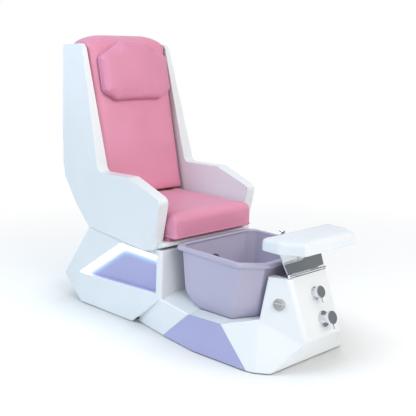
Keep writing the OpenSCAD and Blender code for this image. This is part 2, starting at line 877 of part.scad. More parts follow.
// Section of the seat cushion in side view, edges drawn in by e: a large roll at the front
function seat_section(e, crown) = let (
    low = seat_low_z + e,
    top = seat_low_z + seat_pad_t - e,
    front = seat_pad_front_y + e,
    back = seat_pad_back_y - e,
    low_r = seat_low_r - e,
    roll = seat_roll_r - e) concat(
    [[back, low]],
    [for (a = [0, 45, 90]) [front + low_r * (1 - sin(a)), low + low_r * (1 - cos(a))]],
    [for (a = [0 : 15 : 90]) [front + roll * (1 - cos(a)), top - roll * (1 - sin(a))]],
    [for (f = [0.25, 0.5, 0.75, 1]) [mix(front + roll, back_pad_foot_y, f), top + crown * sin(180 * f)]],
    [[back, top]]);

// Stations across a cushion, each a place and an inset, the last ones round its side edge
function side_stations(half) = concat(
    [for (f = [0, 0.4, 0.8]) [f * (half - pad_edge_r), 0]],
    [for (a = [0, 30, 60, 90]) [half - pad_edge_r * (1 - sin(a)), pad_edge_r * (1 - cos(a))]]);

module seat_cushion() color("lightpink") {
    half = seat_w / 2 - pad_side_gap;
    stations = side_stations(half);
    n = len(stations);
    sections = [for (i = [1 - n : n - 1])
        let (row = stations[abs(i)], x = sign(i) * row[0], f = row[0] / half)
        [for (p = seat_section(row[1], seat_crown * (1 - f * f))) [x, p.x, p.y]]];
    skin(sections, section_middle(sections[0]), section_middle(sections[2 * n - 2]));
}

function section_middle(s) = [s[0].x, middle_of([for (p = s) p.y]), middle_of([for (p = s) p.z])];

// Each row: place across, edge rounding and rise of the rolled top, as shares
back_station_shares = [[0, 0, 1], [0.3, 0, 1], [0.6, 0, 1], [0.78, 0.02, 0.86], [0.9, 0.15, 0.68],
                       [0.96, 0.4, 0.5], [0.99, 0.7, 0.36], [1, 1, 0.25]];
roll_steps = 9;

// Section of the back cushion in side view, edges drawn in by e, top raised by rise
function back_section(e, rise, crown) = let (
    foot = back_pad_foot_z + e,
    top = wing_top_z + wing_back_rise + seat_gap,
    front = back_pad_foot_y + e,
    roll_y = front + (top - back_pad_foot_z) * tan(back_lean),
    roll_r = (back_roll_l - 2 * e) / 2,
    back = back_pad_foot_y + back_pad_t / cos(back_lean)) concat(
    [[back + (foot - back_pad_foot_z) * tan(back_lean), foot], [front + pad_edge_r, foot],
     [front + 0.3 * pad_edge_r, foot + 0.3 * pad_edge_r], [front, foot + pad_edge_r]],
    [for (f = [0.2, 0.4, 0.6, 0.8])
        [front + (top - back_pad_foot_z) * tan(back_lean) * f - crown * sin(180 * f),
         back_pad_foot_z + (top - back_pad_foot_z) * f]],
    [for (k = [0 : roll_steps]) [roll_y + roll_r * (1 - cos(180 * k / roll_steps)),
                                 top + rise * sin(180 * k / roll_steps)]],
    [[back + (top - back_pad_foot_z) * tan(back_lean), top - 2 * seat_gap]]);

module back_cushion() color("lightpink") {
    half = seat_w / 2 - pad_side_gap;
    n = len(back_station_shares);
    sections = [for (i = [1 - n : n - 1])
        let (row = back_station_shares[abs(i)],
             x = sign(i) * row[0] * half,
             s = back_section(row[1] * pad_edge_r, row[2] * back_top_rise - wing_back_rise,
                              pad_crown * (1 - row[0] * row[0])))
        [for (p = s) [x, p.x, p.y]]];
    skin(sections, end_middle(sections[0]), end_middle(sections[len(sections) - 1]));
}

function end_middle(s) = [s[0].x, middle_of([s[0].y, s[6].y]), middle_of([s[0].z, s[10].z])];

module on_cushion(s) {
    on_back(0, s) translate([0, 0, board_t + back_pad_t + 2 * seat_gap]) children();
}

pillow_out = board_t + back_pad_t + pillow_gap + pad_crown + pillow_t / 2;
pillow_low = (pillow_foot_z - pan_z - pillow_out * sin(back_lean)) / cos(back_lean);
tape_w = 50;
tape_h = 110;
tape_x = 70;
tape_crown_share = 0.7;

module headrest_pillow() color("pink") on_cushion(pillow_low) translate([0, 0, pad_crown + pillow_gap])
    cushion([[-pillow_w / 2 + pillow_low_chamfer.x, 0], [pillow_w / 2 - pillow_low_chamfer.x, 0],
             [pillow_w / 2, pillow_low_chamfer.y], [pillow_w / 2, pillow_h - pillow_chamfer.y],
             [pillow_w / 2 - pillow_chamfer.x, pillow_h], [-pillow_w / 2 + pillow_chamfer.x, pillow_h],
             [-pillow_w / 2, pillow_h - pillow_chamfer.y], [-pillow_w / 2, pillow_low_chamfer.y]],
            pillow_t, pad_corner_r, 0.8 * pad_round, pad_low_round, pad_crown, 0.5 * pad_draw);

module headrest_tapes() color("dimgray") both_sides() on_cushion(pillow_low)
    span([tape_x - tape_w / 2, (pillow_h - tape_h) / 2, tape_crown_share * pad_crown],
         [tape_x + tape_w / 2, (pillow_h + tape_h) / 2, pad_crown + pillow_gap - seat_gap]);

// Tub

// Corners of the tub's body, grown by g, its upper ring at the height top
function tub_corners(g, top) = [for (s = tub_ring_shares) let (
        z = s[0] == 1 ? top : tub_floor_z - g + s[0] * (rim_z - rim_t - tub_floor_z),
        half = body_w / 2 - s[1] * tub_side_draw + g,
        front = tub_front_y + s[3] * tub_front_draw - g,
        back = tub_back_y - s[2] * tub_back_draw + g,
        cut = rim_cut - tub_end_gap + 0.6 * g,
        back_cut = rim_back_cut + wall + 0.6 * g)
    for (p = cut_box(half, front, back, cut, back_cut)) if (p.x > 0) [p.x, p.y, z]];

module tub_form(g, top) {
    gem(tub_corners(g, top));
}

module rim_plate(grow, cut_grow, low, high) {
    translate([0, 0, low]) linear_extrude(high - low)
        polygon(cut_box(rim_w / 2 + grow, rim_front_y - grow, rim_back_y + grow,
                        rim_cut + cut_grow, rim_back_cut + cut_grow));
}

module mouth(low, high) {
    translate([0, 0, low]) linear_extrude(high - low)
        polygon(cut_box(mouth_w / 2, rim_front_y + mouth_end_gap, rim_back_y - mouth_end_gap,
                        rim_cut - mouth_end_gap / 2, mouth_back_cut));
}

module tub() color("thistle") difference() {
    union() {
        tub_form(0, rim_z - over);
        difference() {
            rim_plate(0, 0, rim_z - rim_t, rim_z);
            rim_plate(-wall, -wall / 2, rim_z - rim_t - over, rim_z - wall);
        }
        translate([spray_x, spray_y, 0]) rod(spray_ear_r, rim_z - wall, rim_z);
    }
    tub_form(-wall, rim_z - wall);
    mouth(rim_z - wall - over, rim_z + over);
    in_drain_place() rod(drain_d / 2, tub_floor_z - over, tub_floor_z + 2 * wall);
    on_tub_back() rod(jet_d / 2, -2 * wall, over);
    translate([spray_x, spray_y, 0]) rod(spray_r + run_gap + spray_wall + fit_gap, rim_z - rim_t, rim_z + over);
}

// Places something on the inner face of the tub's back wall, its axis into the tub
module on_tub_back() {
    translate([jet_x, tub_back_y - wall, jet_z]) rotate([90, 0, 0]) children();
}

module tub_pads() color("black") both_sides() for (y = post_stations)
    span([rail_x - post_w / 2, y, tub_floor_z - tub_pad_t - fit_gap],
         [rail_x + post_w / 2, y + post_w, tub_floor_z - fit_gap]);

// Drain

flange_over = 11;
flange_t = 3;
tail_wall = 4;
tail_low_z = 66;
plug_stem_r = 3;
plug_guide_r = 7;
spoke_w = 4;
spoke_t = 6;
tub_inner_z = tub_floor_z + wall;
drain_tail_r = drain_d / 2 - fit_gap;
waste_socket_h = 34;
waste_r = 16;
waste_wall = 2.5;
waste_low_z = 14;

module drain_flange() color("silver") in_drain_place() difference() {
    union() {
        ring(drain_d / 2 + flange_over, drain_tail_r - tail_wall, tub_inner_z, tub_inner_z + flange_t);
        ring(drain_tail_r, drain_tail_r - tail_wall, tail_low_z, tub_inner_z + over);
        rod(plug_guide_r, tail_low_z, tail_low_z + spoke_t);
        for (a = [0, 60, 120]) rotate([0, 0, a])
            span([-drain_tail_r + tail_wall / 2, -spoke_w / 2, tail_low_z],
                 [drain_tail_r - tail_wall / 2, spoke_w / 2, tail_low_z + spoke_t]);
    }
    rod(plug_stem_r + run_gap, tail_low_z - over, tub_inner_z);
}

module drain_nut() color("gainsboro") in_drain_place()
    ring(drain_d / 2 + flange_over, drain_tail_r + fit_gap, tub_floor_z - 2 * nut_t, tub_floor_z - fit_gap);

module drain_plug() color("silver") in_drain_place() {
    low = tub_inner_z + flange_t + seat_gap;
    rod(drain_tail_r, low, low + flange_t);
    translate([0, 0, low + flange_t - over]) cylinder(r1 = drain_tail_r - over, r2 = drain_tail_r / 2, h = flange_t);
    rod(plug_stem_r, tail_low_z - 2 * plug_stem_r, low + over);
}

module waste_pipe() color("gainsboro") in_drain_place() difference() {
    union() {
        rod(drain_tail_r + fit_gap + waste_wall, tub_floor_z - 2 * nut_t - fit_gap - waste_socket_h,
            tub_floor_z - 2 * nut_t - fit_gap);
        rod(waste_r, waste_low_z, tail_low_z);
    }
    rod(drain_tail_r + fit_gap, tail_low_z - over, tub_floor_z);
    rod(waste_r - waste_wall, waste_low_z - over, tub_floor_z);
}

cable_r = 3;
cable_gap = 0.3;
cable_end_a = 230;
cable_bend_x = 80;
cable_bend_y = -480;
cable_bend_z = 150;
cable_drop_x = 72;
cable_drop_y = -455;
cable_drop_z = 80;

module drain_cable() color("black") {
    in = -side_normal;
    start = drain_control + in * (drain_control_l + cable_gap);
    socket_r = drain_tail_r + fit_gap + waste_wall + cable_gap;
    out = [cos(cable_end_a), sin(cable_end_a), 0];
    low = tail_low_z + cable_r;
    end = [0, drain_y, low] + out * socket_r;
    hose(smooth([start, start + in * 3 * cable_r, [-cable_bend_x, cable_bend_y, cable_bend_z],
                 [-cable_drop_x, cable_drop_y, cable_drop_z], end + out * 20 * cable_r, end + out * 4 * cable_r, end], 3), cable_r);
}

module drain_ring() color("silver") on_column_side() difference() {
    union() {
        rod(drain_ring_r, 0, drain_ring_t);
        rod(drain_neck_r, -drain_control_l, over);
    }
    rod(stem_r + run_gap, -drain_control_l + wall, drain_ring_t + over);
}

module drain_knob() color("silver") on_column_side() difference() {
    union() {
        rod(drain_knob_r, drain_ring_t + seat_gap, drain_ring_t + drain_knob_t);
        rod(stem_r, -drain_control_l + wall + over, drain_ring_t + over);
    }
    for (s = [-1, 1]) translate([s * drain_knob_r * 0.75, 0, 0])
        span([-drain_knob_r / 2, -drain_knob_r, drain_ring_t + drain_knob_t / 2],
             [drain_knob_r / 2, drain_knob_r, drain_ring_t + 2 * drain_knob_t]);
}

// Water jet

jet_flange_r = 20;
jet_flange_t = 4;
jet_barrel_l = 24;
jet_cup_r = jet_d / 2 - fit_gap - wall / 2;
axle_r = 2;
blade_count = 6;
cover_t = 3;
slot_count = 12;

module jet_housing() color("dimgray") on_tub_back() {
    difference() {
        union() {
            rod(jet_flange_r, 0, jet_flange_t);
            rod(jet_d / 2 - fit_gap, -jet_barrel_l, over);
        }
        rod(jet_cup_r, -jet_barrel_l + jet_flange_t, jet_flange_t + over);
    }
    rod(axle_r, -jet_barrel_l + jet_flange_t - over, 0);
}

module jet_nut() color("dimgray") on_tub_back()
    ring(jet_flange_r, jet_d / 2, -wall - 2 * jet_flange_t, -wall - fit_gap);

module jet_cover() color("brown") on_tub_back() difference() {
    rod(jet_flange_r - over, jet_flange_t, jet_flange_t + cover_t);
    for (k = [0 : slot_count - 1]) rotate([0, 0, k * 360 / slot_count])
        span([jet_cup_r / 3, -over, jet_flange_t - over], [jet_cup_r - over, over, jet_flange_t + cover_t + over]);
}

module jet_impeller() color("white") on_tub_back() difference() {
    union() {
        rod(2.5 * axle_r, -jet_barrel_l + 2 * jet_flange_t, -wall);
        for (k = [0 : blade_count - 1]) rotate([0, 0, k * 360 / blade_count])
            span([1.5 * axle_r, -over / 2, -jet_barrel_l + 2 * jet_flange_t + over / 2],
                 [jet_cup_r - 2 * over, over / 2, -wall - over / 2]);
    }
    rod(axle_r + run_gap, -jet_barrel_l, 0);
}

module jet_motor() color("dimgray") on_tub_back()
    rod(jet_d / 2 + jet_flange_t, -jet_barrel_l - wall * 4, -jet_barrel_l - seat_gap);

// Taps on the front face

module tap_flange(x, z, r, reach) on_front_face(x, z) {
    difference() {
        union() {
            rod(r - tap_flange_t / 2, 0, tap_flange_t);
            rod(r, 0, tap_flange_t / 2);
            rod(tap_neck_r, 0, reach);
        }
        rod(stem_r + run_gap, -over, reach + over);
    }
}

module tap_body(x, z) on_front_face(x, z) difference() {
    union() {
        rod(tap_neck_r, -3 * wall, 0);
        rod(tap_body_r, -tap_body_l, -2 * wall);
    }
    rod(stem_r + run_gap, -stem_l - over, over);
}

// Ports of the lower tap: arms to both sides, spigots pointing down
module tap_ports(x, z) {
    back = port_depth * [0, cos(column_lean), -sin(column_lean)];
    y = column_front_y - (column_top_z - z) * tan(column_lean) + back.y;
    translate([x, y, z + back.z]) {
        rotate([0, 90, 0]) rod(port_r - over, -port_spread, port_spread);
        for (s = [-1, 1]) translate([s * port_spread, 0, 0]) rod(port_r, -port_drop, port_r - over);
    }
}

module tap_knob(x, z, r, reach) on_front_face(x, z) {
    rod(stem_r, -stem_l, reach + over);
    rod(r, reach + seat_gap, reach + knob_t);
    rod(r - over, reach + over, reach + knob_t + over);
    translate([0, 0, reach + knob_t / 2]) rotate([90, 0, 0]) rod(lever_r, r - over, r + lever_l);
}

module upper_tap_flange() color("silver") tap_flange(upper_tap_x, upper_tap_z, upper_flange_r, upper_reach);

module upper_tap_body() color("goldenrod") tap_body(upper_tap_x, upper_tap_z);

module upper_tap_knob() color("silver") tap_knob(upper_tap_x, upper_tap_z, upper_knob_r, upper_reach);

module lower_tap_flange() color("silver") tap_flange(lower_tap_x, lower_tap_z, lower_flange_r, lower_reach);

module lower_tap_body() color("goldenrod") {
    tap_body(lower_tap_x, lower_tap_z);
    tap_ports(lower_tap_x, lower_tap_z);
}

module lower_tap_knob() color("silver") tap_knob(lower_tap_x, lower_tap_z, lower_knob_r, lower_reach);

// Water supply

module inlet(x) translate([x, service_y, inlet_z]) rotate([-90, 0, 0]) {
    rod(inlet_r, -service_t - nut_t, nut_t + inlet_l);
    rod(nut_r, fit_gap, nut_t);
    rod(nut_r, -service_t - nut_t, -service_t - fit_gap);
    rod(hose_r, -service_t - nut_t - tail_l, -service_t);
}

module cold_inlet() color("goldenrod") inlet(cold_x);

module hot_inlet() color("goldenrod") inlet(hot_x);

module supply_hose(x) {
    back = port_depth * [0, cos(column_lean), -sin(column_lean)];
    port_y = column_front_y - (column_top_z - lower_tap_z) * tan(column_lean) + back.y;
    port_z = lower_tap_z + back.z - port_drop;
    start_y = service_y - service_t - nut_t - tail_l;
    run_z = rail_top_z + hose_r + seat_gap;
    hose(smooth([[x, start_y, inlet_z], [x, start_y - 4 * hose_r, inlet_z], [x, start_y - 12 * hose_r, inlet_z],
                 [x, start_y - 16 * hose_r, run_z], [x, start_y - 24 * hose_r, run_z],
                 [x, port_y + 8 * hose_r, run_z], [x, port_y + hose_r, run_z + hose_r],
                 [x, port_y, port_z - 2 * hose_r], [x, port_y, port_z]], 2), hose_r);
}

module cold_hose() color("silver") supply_hose(lower_tap_x - port_spread);

module hot_hose() color("silver") supply_hose(lower_tap_x + port_spread);

// Hand spray on the tub's far rim

module spray_holder() color("silver") translate([spray_x, spray_y, 0]) difference() {
    union() {
        rod(spray_collar_r, rim_z, rim_z + spray_collar_t);
        rod(spray_r + run_gap + spray_wall, rim_z - spray_sleeve_l, rim_z + over);
    }
    rod(spray_r + run_gap, rim_z - spray_sleeve_l - over, rim_z + spray_collar_t + over);
}

module spray_head() color("silver") translate([spray_x, spray_y, 0]) {
    low = rim_z + spray_collar_t + seat_gap;
    rod(spray_r, rim_z - spray_sleeve_l + wall, low + over);
    rod(spray_r + over, low, low + spray_head_h);
    translate([0, 0, low + spray_tip_r]) rotate([-spray_tilt, 0, 0]) {
        rod(spray_tip_r, 0, spray_head_l + spray_r);
        translate([0, 0, spray_head_l + spray_r - over])
            cylinder(r1 = spray_tip_r, r2 = spray_tip_r / 2, h = spray_tip_r / 2);
    }
}

// Foot rest

module along_pin(low, high, r) {
    translate([0, pin_y, pin_z]) rotate([0, 90, 0]) rod(r, low, high);
}

module hinge_leaf() color("dimgray") difference() {
    union() {
        span([-bracket_w / 2, column_front_y, column_top_z],
             [bracket_w / 2, column_front_y + leaf_l, column_top_z + leaf_t]);
        both_sides() {
            along_pin(knuckle_w / 2 + seat_gap, bracket_w / 2, knuckle_r);
            span([knuckle_w / 2 + seat_gap, pin_y - hinge_pin_r, column_top_z],
                 [bracket_w / 2, pin_y + hinge_pin_r, pin_z]);
        }
    }
    along_pin(-bracket_w, bracket_w, hinge_pin_r + run_gap);
}

module hinge_pin() color("silver") along_pin(-bracket_w / 2 - over, bracket_w / 2 + over, hinge_pin_r);

// Bent sheet: a leg that leans back from the hinge, and a flange under the board
bracket_low = pin_z + knuckle_r + 2 * seat_gap;

function leg_y(z) = pin_y + knuckle_r + (z - pin_z) * (bracket_back_y - pin_y - knuckle_r) / (bracket_top_z - pin_z);

module footrest_bracket() color("silver") difference() {
    union() {
        intersection() {
            across([[leg_y(bracket_low) - bracket_t, bracket_low], [leg_y(bracket_low), bracket_low],
                    [bracket_back_y, bracket_top_z], [bracket_back_y - bracket_flange_l, bracket_top_z],
                    [bracket_back_y - bracket_flange_l, bracket_top_z - bracket_t],
                    [bracket_back_y - 1.5 * bracket_t, bracket_top_z - bracket_t]], bracket_top_w);
            rotate([90, 0, 0]) translate([0, 0, -bracket_back_y - over]) linear_extrude(foot_pad_l)
                polygon([[-bracket_w / 2, bracket_low], [bracket_w / 2, bracket_low],
                         [bracket_top_w / 2, bracket_top_z], [-bracket_top_w / 2, bracket_top_z]]);
        }
        across([[leg_y(pin_z) - bracket_t, pin_z - hinge_pin_r], [leg_y(pin_z) - over, pin_z - hinge_pin_r],
                [leg_y(bracket_low + over), bracket_low + over],
                [leg_y(bracket_low + over) - bracket_t, bracket_low + over]], knuckle_w);
        along_pin(-knuckle_w / 2, knuckle_w / 2, knuckle_r);
    }
    along_pin(-bracket_w, bracket_w, hinge_pin_r + run_gap);
    both_sides() for (y = foot_screw_stations) translate([foot_screw_x, y, 0])
        rod(screw_r + fit_gap, bracket_top_z - bracket_t - over, bracket_top_z + over);
}

foot_screw_x = 60;
foot_screw_back_y = bracket_back_y - bracket_flange_l / 3;
foot_screw_pitch = 55;
foot_screw_stations = [foot_screw_back_y - foot_screw_pitch, foot_screw_back_y];
foot_board_margin = 30;

// Plan of the foot rest drawn in by g: small cuts at the back, long ones at the front
function foot_plan(g) = let (
    half = foot_pad_w / 2 - g,
    front = foot_pad_back_y - foot_pad_l + g,
    back = foot_pad_back_y - g) [
    [-half, front + foot_pad_cut_y], [-half + foot_pad_cut_x, front],
    [half - foot_pad_cut_x, front], [half, front + foot_pad_cut_y],
    [half, back - foot_pad_back_cut], [half - foot_pad_back_cut, back],
    [-half + foot_pad_back_cut, back], [-half, back - foot_pad_back_cut]
];

module footrest_board() color("burlywood") difference() {
    translate([0, 0, foot_board_low_z]) linear_extrude(foot_board_t) polygon(foot_plan(foot_board_margin));
    both_sides() for (y = foot_screw_stations) translate([foot_screw_x, y, 0])
        rod(screw_r + fit_gap, foot_board_low_z - over, foot_pad_low_z - over);
}

module footrest_screws() color("silver") both_sides() for (y = foot_screw_stations)
    translate([foot_screw_x, y, 0]) {
        rod(screw_r, bracket_top_z - bracket_t - over, foot_pad_low_z - 2 * over);
        rod(screw_head_r, bracket_top_z - bracket_t - fit_gap - screw_r, bracket_top_z - bracket_t - fit_gap);
    }

module foot_pad() color("white") translate([0, 0, foot_pad_low_z + fit_gap])
    cushion(foot_plan(0), foot_pad_t - fit_gap - pad_crown / 2, pad_corner_r / 2, pad_round / 2, pad_low_round / 2,
            pad_crown / 2, pad_draw / 4);

base_shell();
base_frame();
levelling_feet();
service_box();
recess_tray_left();
recess_tray_right();
led_strip_left();
led_strip_right();
lower_trim_left();
lower_trim_right();
led_driver();
power_inlet();
seat_shell();
seat_bolts();
seat_board();
back_board();
board_screws();
seat_cushion();
back_cushion();
headrest_pillow();
headrest_tapes();
tub();
tub_pads();
drain_flange();
drain_nut();
drain_plug();
waste_pipe();
drain_cable();
drain_ring();
drain_knob();
jet_housing();
jet_nut();
jet_cover();
jet_impeller();
jet_motor();
upper_tap_flange();
upper_tap_body();
upper_tap_knob();
lower_tap_flange();
lower_tap_body();
lower_tap_knob();
cold_inlet();
hot_inlet();
cold_hose();
hot_hose();
spray_holder();
spray_head();
hinge_leaf();
hinge_pin();
footrest_bracket();
footrest_board();
footrest_screws();
foot_pad();
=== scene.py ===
"""Looks of the child's pedicure chair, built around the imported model."""
import math

import bmesh
import bpy
from bpy.props import FloatProperty, FloatVectorProperty, IntProperty, PointerProperty
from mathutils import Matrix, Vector
from mathutils.bvhtree import BVHTree


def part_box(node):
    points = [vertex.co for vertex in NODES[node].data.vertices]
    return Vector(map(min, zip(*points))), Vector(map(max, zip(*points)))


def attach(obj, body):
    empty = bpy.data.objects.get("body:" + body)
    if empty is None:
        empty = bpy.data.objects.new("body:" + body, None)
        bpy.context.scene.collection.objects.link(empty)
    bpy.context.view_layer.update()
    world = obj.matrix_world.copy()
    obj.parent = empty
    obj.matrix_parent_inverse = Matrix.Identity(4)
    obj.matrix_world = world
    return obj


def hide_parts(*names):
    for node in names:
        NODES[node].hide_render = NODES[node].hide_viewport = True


bl_info = {
    "name": "Child pedicure chair",
    "version": (1, 0, 0),
    "blender": (4, 5, 0),
    "location": "View3D > Sidebar > Chair",
    "description": "Mouldings, upholstery, chrome and lights of a child's pedicure chair",
    "category": "Object",
}

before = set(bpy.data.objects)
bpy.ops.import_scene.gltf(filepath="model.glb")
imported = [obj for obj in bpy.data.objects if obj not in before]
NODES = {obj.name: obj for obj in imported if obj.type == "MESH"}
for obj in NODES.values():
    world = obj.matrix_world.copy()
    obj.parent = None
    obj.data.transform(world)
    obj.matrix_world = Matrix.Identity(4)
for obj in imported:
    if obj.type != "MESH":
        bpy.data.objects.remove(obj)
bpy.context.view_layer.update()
ROOT = "chair"

# Nodes by finish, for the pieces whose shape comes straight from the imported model
CHROME_NODES = ("drain_flange", "drain_plug", "drain_ring", "drain_knob", "upper_tap_flange",
                "upper_tap_knob", "lower_tap_flange", "lower_tap_knob", "spray_holder", "spray_head",
                "hinge_leaf", "hinge_pin", "footrest_bracket")
ZINC_NODES = ("seat_bolts", "board_screws", "footrest_screws")
BRASS_NODES = ("upper_tap_body", "lower_tap_body", "cold_inlet", "hot_inlet")
BLACK_NODES = ("power_inlet", "drain_cable", "jet_housing", "jet_nut", "jet_motor")
GREY_NODES = ("led_driver", "drain_nut", "waste_pipe", "jet_impeller")
WOOD_NODES = ("back_board", "footrest_board")
RUBBER_NODES = ("levelling_feet", "tub_pads")

# Working sizes, in metres and radians
# Points closer than this are one point, and faces turned less than this are one face
MERGE_GAP = 2e-5
FLAT_ANGLE = math.radians(1.2)
# Edges sharper than the crease are rounded, and long ones sharper than the fold
CREASE_ANGLE = math.radians(24)
FOLD_ANGLE = math.radians(5)
LONG_FOLD = 0.03
CORNER_STEPS = 6
# Corners of the arms' outline: their least turn, and the wall that their edges run through
ARM_ANGLE = math.radians(8)
ARM_WALL = (0.01, 0.07)
# Corners of the base: their least turn and length, and where the nose and the front begin
BASE_ANGLE = math.radians(20)
BASE_LENGTH = 0.1
NOSE_Y = -0.58
FRONT_X = 0.08
FRONT_Y = 0.05
# A bevel takes at most this share of the room beside its edge
EDGE_SHARE = 0.42
LEAST_ROOM = 1e-4
# A face whose triangles cover this many times its area closes over a hole; specks are left
OVERFILL = 1.02
SPECK_AREA = 1e-7
TRIM_ROUND = 0.0012
TRIM_STEPS = 2
TUB_SMOOTHING = 6
COVER_SMOOTHING = 8
COVER_SHRINK = 0.002
PAD_VOXEL = 0.005
PAD_SWELL = 0.003
PAD_SMOOTHING = 3
PAD_SHRINK = 0.001
BACK_BOARD_TOP = 1.05
FACING = 0.5
CLOTH_FRAMES = 20
CLOTH_QUALITY = 5

# The lit recess in side view, in metres: tail, top and front ends of its upper edges
RECESS_TAIL = (0.502, 0.130)
RECESS_TOP = (0.233, 0.301)
RECESS_FRONT = (0.008, 0.295)
# How far the light painted on the panel reaches below those edges, and how far it is white
GLOW_REACH = (0.017, 0.051)
WHITE_REACH = (0.020, 0.036)
GLOW_FALL = 1.7
GLOW_CORNER = 0.02
# Strength of the strips' light painted on the panel as its glow
PANEL_GLOW = 1.05
STRIP_COLOUR = (0.72, 0.93, 1.0, 1)
BLACK = (0.0, 0.0, 0.0, 1)
WHITE = (1.0, 1.0, 1.0, 1)

# The studio: the floor's shadow near the chair, cast and partly painted from ambient occlusion, where it runs
# out to white, and the lamps
FLOOR_SIZE = 30
SHADOW_REACH = 0.30
SHADOW_FALL = 2.3
FLOOR_LIFT = 0.47
FLOOR_FADE = (0.9, 2.4)
LAMP_SIZE = 2.4
LAMP_AIM = (0, 0, 0.4)
SENSOR_WIDTH = 36


class ShellSettings(bpy.types.PropertyGroup):
    edge_round: FloatProperty(
        name="Edge round", description="Width of the rounded edges",
        default=0.005, min=0.001, max=0.012, unit="LENGTH")
    arm_round: FloatProperty(
        name="Arm round", description="Width of the rounding at the arms' and wings' corners",
        default=0.022, min=0.005, max=0.04, unit="LENGTH")
    nose_round: FloatProperty(
        name="Nose round",
        description="Width of the rounding at the column's nose; upright edges get half of it",
        default=0.024, min=0.003, max=0.04, unit="LENGTH")
    edge_steps: IntProperty(
        name="Edge steps", description="Facets across a rounded edge",
        default=3, min=1, max=6)
    tub_voxel: FloatProperty(
        name="Tub fineness", description="Cell size of the tub's smoothed skin",
        default=0.0033, min=0.002, max=0.006, unit="LENGTH")
    white: FloatVectorProperty(
        name="White", description="Gel coat of the base and seat shell",
        subtype="COLOR", size=4, min=0, max=1, default=(0.735, 0.755, 0.785, 1))
    lilac: FloatVectorProperty(
        name="Lilac", description="Side panels",
        subtype="COLOR", size=4, min=0, max=1, default=(0.38, 0.38, 0.62, 1))
    tub_lilac: FloatVectorProperty(
        name="Tub lilac", description="Foot tub",
        subtype="COLOR", size=4, min=0, max=1, default=(0.45, 0.42, 0.555, 1))
    # The glow colour is painted on the recess panels as the strips' light; the strips themselves shine with
    # their own colour
    glow: FloatVectorProperty(
        name="Glow", description="Light of the strips in the side recesses",
        subtype="COLOR", size=4, min=0, max=1, default=(0.30, 0.72, 0.62, 1))
    glow_power: FloatProperty(
        name="Glow power", description="Strength of the light strips",
        default=6.0, min=0, max=30)


class CushionSettings(bpy.types.PropertyGroup):
    pink: FloatVectorProperty(
        name="Pink", description="Vinyl of the seat and back",
        subtype="COLOR", size=4, min=0, max=1, default=(0.71, 0.268, 0.405, 1))
    pillow_pink: FloatVectorProperty(
        name="Pillow pink", description="Vinyl of the headrest pillow",
        subtype="COLOR", size=4, min=0, max=1, default=(0.665, 0.248, 0.382, 1))
    pad_white: FloatVectorProperty(
        name="Pad white", description="Vinyl of the foot pad",
        subtype="COLOR", size=4, min=0, max=1, default=(0.73, 0.76, 0.81, 1))
    voxel: FloatProperty(
        name="Cover fineness", description="Cell size of the covers before they swell",
        default=0.006, min=0.004, max=0.01, unit="LENGTH")
    pressure: FloatProperty(
        name="Filling pressure", description="Pressure of the filling in the cloth simulation",
        default=4.0, min=0, max=10)
    swell: FloatProperty(
        name="Swell", description="Farthest that a cover may swell",
        default=0.006, min=0, max=0.02, unit="LENGTH")


class StageSettings(bpy.types.PropertyGroup):
    camera_place: FloatVectorProperty(
        name="Camera place", description="Where the camera stands",
        subtype="TRANSLATION", size=3, unit="LENGTH", default=(-1.7398, -1.9962, 0.9991))
    azimuth: FloatProperty(
        name="Azimuth", description="Turn of the camera about the vertical",
        subtype="ANGLE", default=-0.72225)
    elevation: FloatProperty(
        name="Elevation", description="How far the camera looks down",
        subtype="ANGLE", default=0.206236)
    lens: FloatProperty(
        name="Lens", description="Focal length in millimetres on a 36 mm frame",
        default=61.6, min=20, max=200)
    key: FloatProperty(
        name="Key light", description="Power of the main soft light in watts",
        default=39.5, min=0, max=500)
    fill: FloatProperty(
        name="Side light", description="Power of the soft light above the left side in watts",
        default=60, min=0, max=500)
    front: FloatProperty(
        name="Front light", description="Power of the soft light ahead of the chair in watts",
        default=78, min=0, max=500)
    sky: FloatProperty(
        name="Room light", description="Strength of the even light from the room",
        default=0.45, min=0, max=2)


# Materials

def blank_material(name):
    made = bpy.data.materials.new(name)
    made.use_nodes = True
    made.node_tree.nodes.clear()
    out = made.node_tree.nodes.new("ShaderNodeOutputMaterial")
    return made, made.node_tree, out


def wire(tree, kind, inputs=(), **settings):
    """A node with its settings, its inputs given as values or as sockets of other nodes."""
    made = tree.nodes.new(kind)
    for key, value in settings.items():
        setattr(made, key, value)
    for key, value in dict(inputs).items():
        if isinstance(value, bpy.types.NodeSocket):
            tree.links.new(value, made.inputs[key])
        else:
            made.inputs[key].default_value = value
    return made


def place(tree):
    """The point on the chair, in metres."""
    return wire(tree, "ShaderNodeTexCoord").outputs["Object"]


def noise(tree, where, scale, detail=3.0, rough=0.5, stretch=None):
    if stretch:
        where = wire(tree, "ShaderNodeMapping", {"Vector": where, "Scale": stretch}).outputs["Vector"]
    inputs = {"Vector": where, "Scale": scale, "Detail": detail, "Roughness": rough}
    return wire(tree, "ShaderNodeTexNoise", inputs).outputs["Fac"]


def ramp(tree, value, low, high, to_low, to_high):
    """A value taken from one range to another, and held at its ends."""
    inputs = {"Value": value, "From Min": low, "From Max": high, "To Min": to_low, "To Max": to_high}
    return wire(tree, "ShaderNodeMapRange", inputs).outputs["Result"]


def math_node(tree, operation, a, b=0.0):
    return wire(tree, "ShaderNodeMath", {0: a, 1: b}, operation=operation).outputs[0]


def waves(tree, where, scale, direction, **inputs):
    """Bands across one direction."""
    made = wire(tree, "ShaderNodeTexWave", {"Vector": where, "Scale": scale, **inputs},
                wave_type="BANDS", bands_direction=direction)
    return made.outputs["Fac"]


def tint(tree, amount, first, second):
    """A blend of two colours, each a value or another node's socket."""
    made = wire(tree, "ShaderNodeMix", {"Factor": amount}, data_type="RGBA")
    for index, value in ((6, first), (7, second)):
        if isinstance(value, bpy.types.NodeSocket):
            tree.links.new(value, made.inputs[index])
        else:
            made.inputs[index].default_value = value
    return made.outputs[2]


